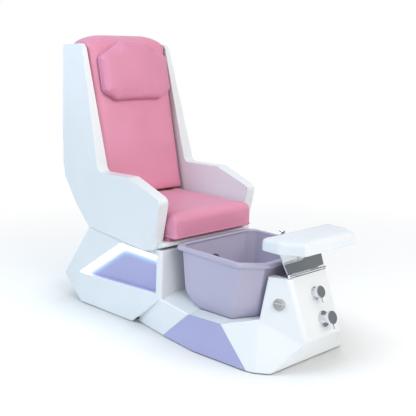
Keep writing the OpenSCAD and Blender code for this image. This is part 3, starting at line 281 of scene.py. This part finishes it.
def bump(tree, height, strength, distance, normal=None):
    """A bumped normal; distance is in metres."""
    inputs = {"Height": height, "Strength": strength, "Distance": distance}
    if normal:
        inputs["Normal"] = normal
    return wire(tree, "ShaderNodeBump", inputs).outputs["Normal"]


def shade(colour, factor):
    return (colour[0] * factor, colour[1] * factor, colour[2] * factor, 1)


def surface(tree, out, **inputs):
    """The shader itself; each input is named as its socket, with low lines for spaces."""
    named = {key.replace("_", " "): value for key, value in inputs.items()}
    made = wire(tree, "ShaderNodeBsdfPrincipled", named)
    tree.links.new(made.outputs["BSDF"], out.inputs["Surface"])
    return made


def gel_coat(name, colour, rough=0.3, coat=0.35, cloudy=0.05):
    """Moulded plastic: faint clouding, slight changes of gloss and an orange-peel skin."""
    made, tree, out = blank_material(name)
    where = place(tree)
    cloud = ramp(tree, noise(tree, where, 3.5, 2), 0.2, 0.8, 0, 1)
    skin = tint(tree, cloud, tuple(colour), shade(colour, 1 - cloudy))
    gloss = noise(tree, where, 9, 2)
    peel = bump(tree, noise(tree, where, 90, 2), 0.03, 0.0003)
    surface(tree, out, Base_Color=skin, Roughness=ramp(tree, gloss, 0.3, 0.7, rough - 0.01, rough + 0.015),
            Normal=peel, Coat_Weight=coat, Coat_Roughness=0.3)
    return made


def vinyl(name, colour, scale=620, depth=0.0005, rough=0.46):
    """Upholstery vinyl: fine pebbled grain, darker pores, and slow changes of tone."""
    made, tree, out = blank_material(name)
    where = place(tree)
    pebbles = wire(tree, "ShaderNodeTexVoronoi", {"Vector": where, "Scale": scale, "Randomness": 0.9})
    fine = noise(tree, where, scale * 2.2, 3)
    grain = math_node(tree, "ADD", pebbles.outputs["Distance"], math_node(tree, "MULTIPLY", fine, 0.35))
    tone = ramp(tree, noise(tree, where, 7, 3), 0.3, 0.7, 0, 1)
    base = tint(tree, tone, tuple(colour), shade(colour, 0.93))
    pores = ramp(tree, grain, 0.15, 0.75, 0.0, 0.10)
    skin = tint(tree, pores, base, shade(colour, 0.6))
    folds = bump(tree, noise(tree, where, 14, 3, stretch=(1, 1, 0.6)), 0.25, 0.004)
    surface(tree, out, Base_Color=skin, Roughness=ramp(tree, fine, 0.3, 0.7, rough - 0.05, rough + 0.08),
            Normal=bump(tree, grain, 0.22, depth, folds), Sheen_Weight=0.12, Sheen_Roughness=0.4)
    return made


def polished(name, colour, rough, smudge):
    """Chrome: a mirror with faint wiping marks."""
    made, tree, out = blank_material(name)
    where = place(tree)
    wiped = noise(tree, where, 40, 5, 0.6, stretch=(1, 1, 0.3))
    surface(tree, out, Base_Color=tint(tree, wiped, tuple(colour), shade(colour, 0.92)), Metallic=1.0,
            Roughness=ramp(tree, wiped, 0.35, 0.75, rough, rough + smudge))
    return made


def plated(name, colour, rough=0.32, metal=1.0):
    """Dull metal, cast or plated: mottled tone and a slightly uneven skin."""
    made, tree, out = blank_material(name)
    where = place(tree)
    mottle = noise(tree, where, 90, 5, 0.6)
    surface(tree, out, Base_Color=tint(tree, mottle, tuple(colour), shade(colour, 0.72)), Metallic=metal,
            Roughness=ramp(tree, mottle, 0.3, 0.7, rough - 0.08, rough + 0.1),
            Normal=bump(tree, mottle, 0.15, 0.0004))
    return made


def moulded(name, colour, rough=0.5, scale=500):
    """Moulded plastic or rubber with a fine spark-etched skin."""
    made, tree, out = blank_material(name)
    where = place(tree)
    etched = noise(tree, where, scale, 2)
    tone = noise(tree, where, 12, 3)
    surface(tree, out, Base_Color=tint(tree, tone, tuple(colour), shade(colour, 0.85)),
            Roughness=ramp(tree, etched, 0.3, 0.7, rough - 0.06, rough + 0.08),
            Normal=bump(tree, etched, 0.18, 0.0003))
    return made


def plywood(name):
    """Birch plywood: long grain on the faces and thin plies on the edges."""
    made, tree, out = blank_material(name)
    where = place(tree)
    grain = noise(tree, where, 30, 6, 0.65, stretch=(1.0, 0.08, 6.0))
    plies = waves(tree, where, 90, "Z", Distortion=1.5, Detail=2)
    wood = tint(tree, grain, (0.62, 0.46, 0.29, 1), (0.42, 0.28, 0.15, 1))
    layered = tint(tree, ramp(tree, plies, 0.4, 0.6, 0, 0.35), wood, (0.30, 0.19, 0.10, 1))
    surface(tree, out, Base_Color=layered, Roughness=ramp(tree, grain, 0.2, 0.8, 0.5, 0.68),
            Normal=bump(tree, grain, 0.2, 0.0004))
    return made


def braided(name):
    """Stainless braid of the supply hoses."""
    made, tree, out = blank_material(name)
    where = place(tree)
    strands = []
    for turn in (0.8, -0.8):
        turned = wire(tree, "ShaderNodeMapping", {"Vector": where, "Rotation": (0, turn, 0)})
        strands.append(waves(tree, turned.outputs["Vector"], 160, "X", Distortion=0.4))
    over = math_node(tree, "MAXIMUM", *strands)
    surface(tree, out, Base_Color=tint(tree, over, (0.22, 0.22, 0.23, 1), (0.66, 0.67, 0.68, 1)),
            Metallic=0.9, Roughness=ramp(tree, over, 0, 1, 0.5, 0.28), Normal=bump(tree, over, 0.5, 0.0006))
    return made


def looped(name):
    """Hook and loop tape: a dull fuzzy pile."""
    made, tree, out = blank_material(name)
    where = place(tree)
    pile = noise(tree, where, 900, 4, 0.8)
    surface(tree, out, Base_Color=tint(tree, pile, (0.05, 0.04, 0.05, 1), (0.16, 0.13, 0.15, 1)),
            Roughness=0.95, Normal=bump(tree, pile, 0.8, 0.001), Sheen_Weight=0.4)
    return made


def edge_distance(tree, where, start, end):
    """Distance below the line from start to end in the YZ plane."""
    run = Vector((end[0] - start[0], end[1] - start[1])).normalized()
    down = Vector((run.y, -run.x))
    if down.y > 0:
        down = -down
    split = wire(tree, "ShaderNodeSeparateXYZ", {"Vector": where}).outputs
    along = math_node(tree, "MULTIPLY", math_node(tree, "SUBTRACT", split["Y"], start[0]), down.x)
    below = math_node(tree, "MULTIPLY", math_node(tree, "SUBTRACT", split["Z"], start[1]), down.y)
    return math_node(tree, "ADD", along, below)


def glowing_panel(name, colour, glow):
    """Satin panel with the light of the strip above it painted on as a glow: white at the edge, then cyan,
    then its own lilac.
    """
    made, tree, out = blank_material(name)
    where = place(tree)
    upper = edge_distance(tree, where, RECESS_TAIL, RECESS_TOP)
    ahead = edge_distance(tree, where, RECESS_TOP, RECESS_FRONT)
    nearer = wire(tree, "ShaderNodeMath", {0: upper, 1: ahead, 2: GLOW_CORNER}, operation="SMOOTH_MIN")
    near = nearer.outputs[0]
    fade = math_node(tree, "POWER", ramp(tree, near, *GLOW_REACH, 1, 0), GLOW_FALL)
    light = tint(tree, ramp(tree, near, *WHITE_REACH, 1, 0), tuple(glow), WHITE)
    satin = noise(tree, where, 80, 4)
    skin = tint(tree, noise(tree, where, 5, 3), tuple(colour), shade(colour, 0.92))
    panel = surface(tree, out, Base_Color=skin, Roughness=ramp(tree, satin, 0.3, 0.7, 0.3, 0.42),
                    Normal=bump(tree, noise(tree, where, 300, 2), 0.05, 0.0005))
    # Painted light: the strip's wash is put into the panel's emission, fading away from its upper edges
    tree.links.new(tint(tree, fade, BLACK, light), panel.inputs["Emission Color"])
    panel.inputs["Emission Strength"].default_value = PANEL_GLOW
    return made


def lit(name, colour, power):
    """Diffuser over the light strip, a little brighter over each lamp."""
    made, tree, out = blank_material(name)
    where = place(tree)
    lamps = waves(tree, where, 20, "Y", Distortion=0.0)
    skin = tint(tree, lamps, (0.85, 0.9, 0.95, 1), (0.95, 0.97, 1, 1))
    cover = surface(tree, out, Base_Color=skin, Roughness=0.4)
    tree.links.new(tint(tree, lamps, colour, (0.92, 0.98, 1.0, 1)), cover.inputs["Emission Color"])
    cover.inputs["Emission Strength"].default_value = power
    return made


def dress(node, material):
    """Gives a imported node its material."""
    piece = NODES[node]
    if not piece.material_slots:
        piece.data.materials.append(material)
    for slot in piece.material_slots:
        slot.material = material


# Meshes

def finish_piece(mesh, name, material, body, slot, *nodes):
    """Puts a finished mesh in the scene, on its body and in place of its nodes."""
    mesh.materials.clear()
    mesh.materials.append(material)
    mesh.name = name
    piece = bpy.data.objects.new(name, mesh)
    bpy.context.scene.collection.objects.link(piece)
    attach(piece, body)
    if nodes:
        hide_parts(*nodes)
    return piece


def evaluated(piece):
    """The mesh of a piece with its modifiers applied."""
    graph = bpy.context.evaluated_depsgraph_get()
    graph.update()
    return bpy.data.meshes.new_from_object(piece.evaluated_get(graph))


def worked(mesh, modifiers):
    """A mesh put through modifiers, each a type and its settings."""
    carrier = bpy.data.objects.new("carrier", mesh)
    bpy.context.scene.collection.objects.link(carrier)
    for kind, settings in modifiers:
        modifier = carrier.modifiers.new(kind.lower(), kind)
        for key, value in settings.items():
            setattr(modifier, key, value)
    bpy.context.view_layer.update()
    made = evaluated(carrier)
    bpy.data.objects.remove(carrier)
    return made


def smoothed(mesh):
    """The mesh with every face shaded smooth."""
    for polygon in mesh.polygons:
        polygon.use_smooth = True
    return mesh


def merged_copy(node, whole=True):
    """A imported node's mesh with its loose triangles joined, and if whole, merged into whole faces."""
    form = bmesh.new()
    form.from_mesh(NODES[node].data)
    bmesh.ops.remove_doubles(form, verts=form.verts, dist=MERGE_GAP)
    if whole:
        bmesh.ops.dissolve_limit(form, angle_limit=FLAT_ANGLE, verts=form.verts, edges=form.edges,
                                 use_dissolve_boundaries=False)
    return form


def edge_room(edge):
    """How wide a bevel can be on this edge before it meets another edge of its faces."""
    room = 1.0
    for face in edge.link_faces:
        inward = face.normal.cross((edge.verts[1].co - edge.verts[0].co).normalized())
        reach = max(abs((v.co - edge.verts[0].co).dot(inward)) for v in face.verts)
        room = min(room, reach)
        for vert in edge.verts:
            for other in vert.link_edges:
                if other is not edge and face in other.link_faces:
                    beside = abs((other.other_vert(vert).co - vert.co).dot(inward))
                    room = min(room, max(beside, LEAST_ROOM))
    return room


def weigh_edges(form, width, wanted):
    """Sets each edge's bevel weight: the share of the width that is wanted, as far as its faces allow."""
    weight = form.edges.layers.float.new("bevel_weight_edge")
    for edge in form.edges:
        share = wanted(edge, edge.calc_face_angle(0)) if len(edge.link_faces) == 2 else 0
        if share:
            edge[weight] = min(float(share), EDGE_SHARE * edge_room(edge) / width)


def bevelled(form, name, width, steps, wanted):
    """A new mesh of the form with its wanted edges rounded; no point strays from the form."""
    weigh_edges(form, width, wanted)
    tree = BVHTree.FromBMesh(form)
    mesh = bpy.data.meshes.new(name)
    form.to_mesh(mesh)
    form.free()
    rounding = {"width": width, "segments": steps, "limit_method": "WEIGHT", "profile": 0.5,
                "use_clamp_overlap": False, "miter_outer": "MITER_ARC"}
    made = worked(mesh, [("BEVEL", rounding)])
    for vert in made.vertices:
        near = tree.find_nearest(vert.co)[0]
        if (near - vert.co).length > width:
            vert.co = near
    return made


def refilled(mesh):
    """Fills anew each flat ring whose one face would close over the hole inside it."""
    mesh.calc_loop_triangles()
    covered = [0.0] * len(mesh.polygons)
    for triangle in mesh.loop_triangles:
        covered[triangle.polygon_index] += triangle.area
    form = bmesh.new()
    form.from_mesh(mesh)
    form.faces.ensure_lookup_table()
    rings = [form.faces[p.index] for p in mesh.polygons
             if covered[p.index] > OVERFILL * p.area + SPECK_AREA]
    for ring in rings:
        normal = ring.normal.copy()
        edges = set(ring.edges)
        bmesh.ops.delete(form, geom=[ring], context="FACES_ONLY")
        slits = [edge for edge in edges if not edge.link_faces]
        rim = [edge for edge in edges if edge.link_faces]
        bmesh.ops.delete(form, geom=slits, context="EDGES")
        bmesh.ops.triangle_fill(form, edges=rim, use_beauty=True, use_dissolve=False, normal=normal)
    form.to_mesh(mesh)
    form.free()
    return mesh


def outer_edge(edge, angle):
    """Sharp edges, and long ones that fold a little."""
    return angle > CREASE_ANGLE or (angle > FOLD_ANGLE and edge.calc_length() > LONG_FOLD)


def rounded_shell(node, corners, width, steps):
    """A packed shell with the corners of its outline well rounded, then its long edges a little.
    corners is a width and a test for the edges that run through the wall at such corners."""
    form = merged_copy(node)
    if corners:
        made = bevelled(form, node, corners[0], CORNER_STEPS, corners[1])
        form = bmesh.new()
        form.from_mesh(made)
        form.edges.layers.float.remove(form.edges.layers.float["bevel_weight_edge"])
        bmesh.ops.remove_doubles(form, verts=form.verts, dist=MERGE_GAP)
    made = smoothed(refilled(bevelled(form, node, width, steps, outer_edge)))
    return worked(made, [("WEIGHTED_NORMAL", {"mode": "FACE_AREA", "weight": 60, "keep_sharp": False})])


def arm_corner(edge, angle):
    """Edges that run through the thickness of the arms and wings."""
    run = edge.verts[1].co - edge.verts[0].co
    return angle > ARM_ANGLE and ARM_WALL[0] < run.length < ARM_WALL[1] and abs(run.x) > 0.9 * run.length


def base_corner(edge, angle):
    """Upright edges of the pedestal's front and of the column, and the fold of the column's nose."""
    run = edge.verts[1].co - edge.verts[0].co
    side, ahead = abs(edge.verts[0].co.x), edge.verts[0].co.y
    if angle < BASE_ANGLE or not edge.is_convex or run.length < BASE_LENGTH:
        return 0
    if ahead < NOSE_Y and abs(run.x) > 0.8 * run.length:
        return 1
    return 0.5 if side > FRONT_X and ahead < FRONT_Y and abs(run.z) > 0.8 * run.length else 0


def smooth_skin(node, voxel, rounds):
    """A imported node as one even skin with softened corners."""
    form = merged_copy(node, whole=False)
    mesh = bpy.data.meshes.new(node)
    form.to_mesh(mesh)
    form.free()
    made = worked(mesh, [("REMESH", {"mode": "VOXEL", "voxel_size": voxel, "use_smooth_shade": True}),
                         ("SMOOTH", {"factor": 0.5, "iterations": rounds})])
    return smoothed(made)


def free_above(point, normal):
    """A cover's freedom to swell: none underneath, where it rests on its board."""
    return 0.0 if normal.z < -FACING else 1.0


def free_ahead(point, normal):
    """None behind, where the pillow rests on the back cushion."""
    return 0.0 if normal.y > FACING else 1.0


def free_off_board(point, normal):
    """None behind, as far up as the back board reaches."""
    return 0.0 if normal.y > FACING and point.z < BACK_BOARD_TOP else 1.0


def puffed(node, voxel, pressure, cap, rounds, shrink, hold):
    """A cover swollen by its filling: remeshed, drawn in, simulated as cloth under pressure and capped.
    hold gives each point's freedom to move, from 0 to 1."""
    mesh = smooth_skin(node, voxel, rounds)
    normals = [v.normal.copy() for v in mesh.vertices]
    freedom = [hold(v.co, normal) for v, normal in zip(mesh.vertices, normals)]
    rest = [v.co - normal * shrink * free for v, normal, free in zip(mesh.vertices, normals, freedom)]
    mesh.vertices.foreach_set("co", [value for point in rest for value in point])
    carrier = bpy.data.objects.new("cover", mesh)
    bpy.context.scene.collection.objects.link(carrier)
    cloth = carrier.modifiers.new("filling", "CLOTH")
    cloth.settings.quality = CLOTH_QUALITY
    cloth.settings.use_pressure = True
    cloth.settings.uniform_pressure_force = pressure
    cloth.settings.effector_weights.gravity = 0
    cloth.point_cache.frame_start = 1
    cloth.point_cache.frame_end = CLOTH_FRAMES
    for step in range(1, CLOTH_FRAMES + 1):
        bpy.context.scene.frame_set(step)
    swollen = evaluated(carrier)
    for vert, start, free, moved in zip(mesh.vertices, rest, freedom, swollen.vertices):
        shift = moved.co - start
        if shift.length > cap:
            shift *= cap / shift.length
        vert.co = start + shift * free
    bpy.data.objects.remove(carrier)
    bpy.context.scene.frame_set(1)
    return smoothed(worked(mesh, [("SMOOTH", {"factor": 0.5, "iterations": 3}),
                                  ("SUBSURF", {"levels": 1, "render_levels": 1})]))


def keep_within(mesh, node):
    """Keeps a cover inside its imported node's box."""
    low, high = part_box(node)
    for vert in mesh.vertices:
        for axis in range(3):
            vert.co[axis] = min(max(vert.co[axis], low[axis]), high[axis])


# Operators

class CHAIR_OT_shells(bpy.types.Operator):
    """White mouldings, lilac side panels and the foot tub"""
    bl_idname = "chair.shells"
    bl_label = "Mouldings"

    def execute(self, context):
        settings = context.scene.chair_shells
        white = gel_coat("white_gel_coat", settings.white)
        lilac = gel_coat("lilac_panel", settings.lilac, rough=0.34, coat=0.1, cloudy=0.1)
        for node, corners in (("base_shell", (settings.nose_round, base_corner)),
                              ("seat_shell", (settings.arm_round, arm_corner))):
            mesh = rounded_shell(node, corners, settings.edge_round, settings.edge_steps)
            finish_piece(mesh, node + "_moulding", white, ROOT, "white_shell", node)
        for node in ("lower_trim_left", "lower_trim_right"):
            mesh = rounded_shell(node, None, TRIM_ROUND, TRIM_STEPS)
            finish_piece(mesh, node + "_panel", lilac, ROOT, "lilac_panel", node)
        tub = gel_coat("lilac_tub", settings.tub_lilac, rough=0.36, coat=0.12, cloudy=0.08)
        mesh = smooth_skin("tub", settings.tub_voxel, TUB_SMOOTHING)
        finish_piece(mesh, "foot_tub", tub, ROOT, "lilac_tub", "tub")
        return {"FINISHED"}


class CHAIR_OT_lights(bpy.types.Operator):
    """Light strips in the side recesses, and the panels with the strips' light painted on them"""
    bl_idname = "chair.lights"
    bl_label = "Side lights"

    def execute(self, context):
        settings = context.scene.chair_shells
        panel = glowing_panel("washed_panel", settings.lilac, settings.glow)
        strip = lit("light_diffuser", STRIP_COLOUR, settings.glow_power)
        for side in ("left", "right"):
            dress("recess_tray_" + side, panel)
            dress("led_strip_" + side, strip)
        return {"FINISHED"}


class CHAIR_OT_cushions(bpy.types.Operator):
    """Seat, back and headrest covers, swollen by their filling"""
    bl_idname = "chair.cushions"
    bl_label = "Cushions"

    def execute(self, context):
        settings = context.scene.chair_cushions
        pink = vinyl("pink_vinyl", settings.pink)
        pillow = vinyl("pillow_vinyl", settings.pillow_pink)
        plan = (("seat_cushion", "seat_cover", pink, "pink_vinyl", free_above),
                ("back_cushion", "back_cover", pink, "pink_vinyl", free_off_board),
                ("headrest_pillow", "pillow_cover", pillow, "pillow_vinyl", free_ahead))
        for node, name, material, slot, hold in plan:
            mesh = puffed(node, settings.voxel, settings.pressure, settings.swell,
                          COVER_SMOOTHING, COVER_SHRINK, hold)
            keep_within(mesh, node)
            finish_piece(mesh, name, material, ROOT, slot, node)
        # The seat's cover is drawn round the edges of its board
        dress("seat_board", pink)
        return {"FINISHED"}


class CHAIR_OT_foot_rest(bpy.types.Operator):
    """White foot pad on its board and chrome bracket"""
    bl_idname = "chair.foot_rest"
    bl_label = "Foot rest"

    def execute(self, context):
        settings = context.scene.chair_cushions
        white = vinyl("white_vinyl", settings.pad_white, scale=800, rough=0.4)
        mesh = puffed("foot_pad", PAD_VOXEL, settings.pressure, PAD_SWELL,
                      PAD_SMOOTHING, PAD_SHRINK, free_above)
        keep_within(mesh, "foot_pad")
        finish_piece(mesh, "foot_pad_cover", white, "foot_rest", "white_vinyl", "foot_pad")
        return {"FINISHED"}


class CHAIR_OT_fittings(bpy.types.Operator):
    """Chrome, brass, steel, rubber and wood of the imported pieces"""
    bl_idname = "chair.fittings"
    bl_label = "Fittings"

    def execute(self, context):
        finishes = (
            (polished("chrome", (0.82, 0.84, 0.86, 1), 0.05, 0.05), CHROME_NODES),
            (plated("zinc", (0.56, 0.57, 0.60, 1)), ZINC_NODES),
            (plated("brass", (0.72, 0.55, 0.25, 1), rough=0.28), BRASS_NODES),
            (moulded("black_plastic", (0.03, 0.03, 0.035, 1), rough=0.45), BLACK_NODES),
            (moulded("grey_plastic", (0.50, 0.51, 0.53, 1)), GREY_NODES),
            (plywood("plywood"), WOOD_NODES),
            (moulded("rubber", (0.025, 0.025, 0.025, 1), rough=0.8, scale=900), RUBBER_NODES),
            (moulded("jet_plastic", (0.15, 0.06, 0.05, 1), rough=0.35), ("jet_cover",)),
            (moulded("service_plastic", (0.60, 0.62, 0.66, 1), rough=0.4), ("service_box",)),
            (plated("black_paint", (0.05, 0.05, 0.055, 1), rough=0.5, metal=0.2), ("base_frame",)),
            (braided("braid"), ("cold_hose", "hot_hose")),
            (looped("loop_tape"), ("headrest_tapes",)))
        for material, nodes in finishes:
            for node in nodes:
                dress(node, material)
        return {"FINISHED"}


class CHAIR_OT_stage(bpy.types.Operator):
    """Pale floor, soft lights and the camera"""
    bl_idname = "chair.stage"
    bl_label = "Stage"

    def execute(self, context):
        settings = context.scene.chair_stage
        scene = context.scene
        camera = bpy.data.objects.new("camera", bpy.data.cameras.new("camera"))
        camera.data.lens = settings.lens
        camera.data.sensor_width = SENSOR_WIDTH
        camera.location = settings.camera_place
        camera.rotation_euler = (math.pi / 2 - settings.elevation, 0, settings.azimuth)
        scene.collection.objects.link(camera)
        scene.camera = camera
        self.floor(scene)
        self.lights(scene, settings)
        self.room(scene, settings)
        scene.view_settings.view_transform = "Standard"
        return {"FINISHED"}

    def floor(self, scene):
        form = bmesh.new()
        bmesh.ops.create_grid(form, x_segments=1, y_segments=1, size=FLOOR_SIZE)
        mesh = bpy.data.meshes.new("studio_floor")
        form.to_mesh(mesh)
        form.free()
        made, tree, out = blank_material("floor_paper")
        seen = wire(tree, "ShaderNodeLightPath").outputs["Is Camera Ray"]
        paper = tint(tree, noise(tree, place(tree), 2, 2), (0.57, 0.575, 0.59, 1), (0.59, 0.595, 0.60, 1))
        pale = wire(tree, "ShaderNodeBsdfDiffuse", {"Color": paper}).outputs[0]
        # The floor is lifted to white by a glow, except close under the chair, which keeps its cast shadow;
        # there the glow fades with ambient occlusion, which paints a contact shadow on top
        close = wire(tree, "ShaderNodeAmbientOcclusion", {"Distance": SHADOW_REACH}, samples=12).outputs["AO"]
        strength = math_node(tree, "MULTIPLY", math_node(tree, "POWER", close, SHADOW_FALL), FLOOR_LIFT)
        glow = wire(tree, "ShaderNodeEmission", {"Color": (0.97, 0.98, 1.0, 1), "Strength": strength})
        shown = wire(tree, "ShaderNodeAddShader", {0: pale, 1: glow.outputs[0]}).outputs[0]
        # Away from the chair the floor runs out into the white backdrop
        point = wire(tree, "ShaderNodeNewGeometry").outputs["Position"]
        reach = wire(tree, "ShaderNodeVectorMath", {0: point}, operation="LENGTH").outputs["Value"]
        white = wire(tree, "ShaderNodeEmission", {"Color": WHITE, "Strength": 1.0}).outputs[0]
        far = ramp(tree, reach, *FLOOR_FADE, 0, 1)
        shown = wire(tree, "ShaderNodeMixShader", {0: far, 1: shown, 2: white}).outputs[0]
        plain = wire(tree, "ShaderNodeBsdfDiffuse", {"Color": (0.92, 0.93, 0.95, 1)}).outputs[0]
        mixed = wire(tree, "ShaderNodeMixShader", {0: seen, 1: plain, 2: shown}).outputs[0]
        tree.links.new(mixed, out.inputs["Surface"])
        mesh.materials.append(made)
        floor = bpy.data.objects.new("studio_floor", mesh)
        scene.collection.objects.link(floor)

    def lights(self, scene, settings):
        plan = (("key_light", settings.key, (1.4, -3.2, 2.8), (1.0, 0.99, 0.90)),
                ("side_light", settings.fill, (-2.2, 0.6, 2.6), (0.68, 0.87, 1.0)),
                ("front_light", settings.front, (-0.6, -3.4, 2.6), (1.0, 0.96, 0.88)))
        for name, power, where, colour in plan:
            lamp = bpy.data.lights.new(name, "AREA")
            lamp.shape = "DISK"
            lamp.size = LAMP_SIZE
            lamp.energy = power
            lamp.color = colour
            holder = bpy.data.objects.new(name, lamp)
            holder.location = where
            aim = Vector(LAMP_AIM) - Vector(where)
            holder.rotation_euler = aim.to_track_quat("-Z", "Y").to_euler()
            scene.collection.objects.link(holder)

    def room(self, scene, settings):
        world = bpy.data.worlds.new("studio")
        scene.world = world
        world.use_nodes = True
        tree = world.node_tree
        tree.nodes.clear()
        out = tree.nodes.new("ShaderNodeOutputWorld")
        path = wire(tree, "ShaderNodeLightPath").outputs
        around = wire(tree, "ShaderNodeTexCoord").outputs["Generated"]
        split = wire(tree, "ShaderNodeSeparateXYZ", {"Vector": around}).outputs
        # Ahead of the chair, near eye level, the room is dim, which draws the grey of the chrome
        ahead = math_node(tree, "ADD", math_node(tree, "MULTIPLY", split["X"], 0.45),
                          math_node(tree, "MULTIPLY", split["Y"], -0.85))
        height = math_node(tree, "ABSOLUTE", math_node(tree, "SUBTRACT", split["Z"], 0.3))
        middle = math_node(tree, "MULTIPLY", ramp(tree, ahead, 0.25, 0.75, 0, 1),
                           ramp(tree, height, 0.2, 0.5, 1, 0))
        dim = math_node(tree, "MULTIPLY", middle, path["Is Glossy Ray"])
        forms = ramp(tree, noise(tree, around, 5, 2, 0.4, stretch=(1.0, 1.0, 0.5)), 0.40, 0.60, 0.10, 0.60)
        pale = self.background(tree, (0.95, 0.97, 1.0, 1), settings.sky)
        dark = self.background(tree, (0.40, 0.43, 0.45, 1), forms)
        white = self.background(tree, WHITE, 1.0)
        mirrored = math_node(tree, "MAXIMUM", path["Is Glossy Ray"], path["Is Transmission Ray"])
        bright = math_node(tree, "MAXIMUM", path["Is Camera Ray"], mirrored)
        base = wire(tree, "ShaderNodeMixShader", {0: bright, 1: pale, 2: white}).outputs[0]
        mixed = wire(tree, "ShaderNodeMixShader", {0: dim, 1: base, 2: dark}).outputs[0]
        tree.links.new(mixed, out.inputs["Surface"])

    def background(self, tree, colour, strength):
        return wire(tree, "ShaderNodeBackground", {"Color": colour, "Strength": strength}).outputs[0]


class CHAIR_PT_panel(bpy.types.Panel):
    """Lists the chair's pieces and their settings"""
    bl_idname = "CHAIR_PT_panel"
    bl_label = "Pedicure chair"
    bl_space_type = "VIEW_3D"
    bl_region_type = "UI"
    bl_category = "Chair"

    def draw(self, context):
        for operator in OPERATORS:
            self.layout.operator(operator.bl_idname)
        for group in (context.scene.chair_shells, context.scene.chair_cushions, context.scene.chair_stage):
            for key in group.bl_rna.properties.keys():
                if key not in {"rna_type", "name"}:
                    self.layout.prop(group, key)


OPERATORS = (CHAIR_OT_stage, CHAIR_OT_shells, CHAIR_OT_lights, CHAIR_OT_cushions, CHAIR_OT_foot_rest,
             CHAIR_OT_fittings)
GROUPS = {"chair_shells": ShellSettings, "chair_cushions": CushionSettings, "chair_stage": StageSettings}
CLASSES = (*GROUPS.values(), *OPERATORS, CHAIR_PT_panel)


def register():
    for kind in CLASSES:
        bpy.utils.register_class(kind)
    for key, kind in GROUPS.items():
        setattr(bpy.types.Scene, key, PointerProperty(type=kind))


def unregister():
    for key in GROUPS:
        delattr(bpy.types.Scene, key)
    for kind in reversed(CLASSES):
        bpy.utils.unregister_class(kind)


def main():
    register()
    bpy.ops.chair.stage()
    bpy.ops.chair.shells()
    bpy.ops.chair.lights()
    bpy.ops.chair.cushions()
    bpy.ops.chair.foot_rest()
    bpy.ops.chair.fittings()


if __name__ == "__main__":
    main()
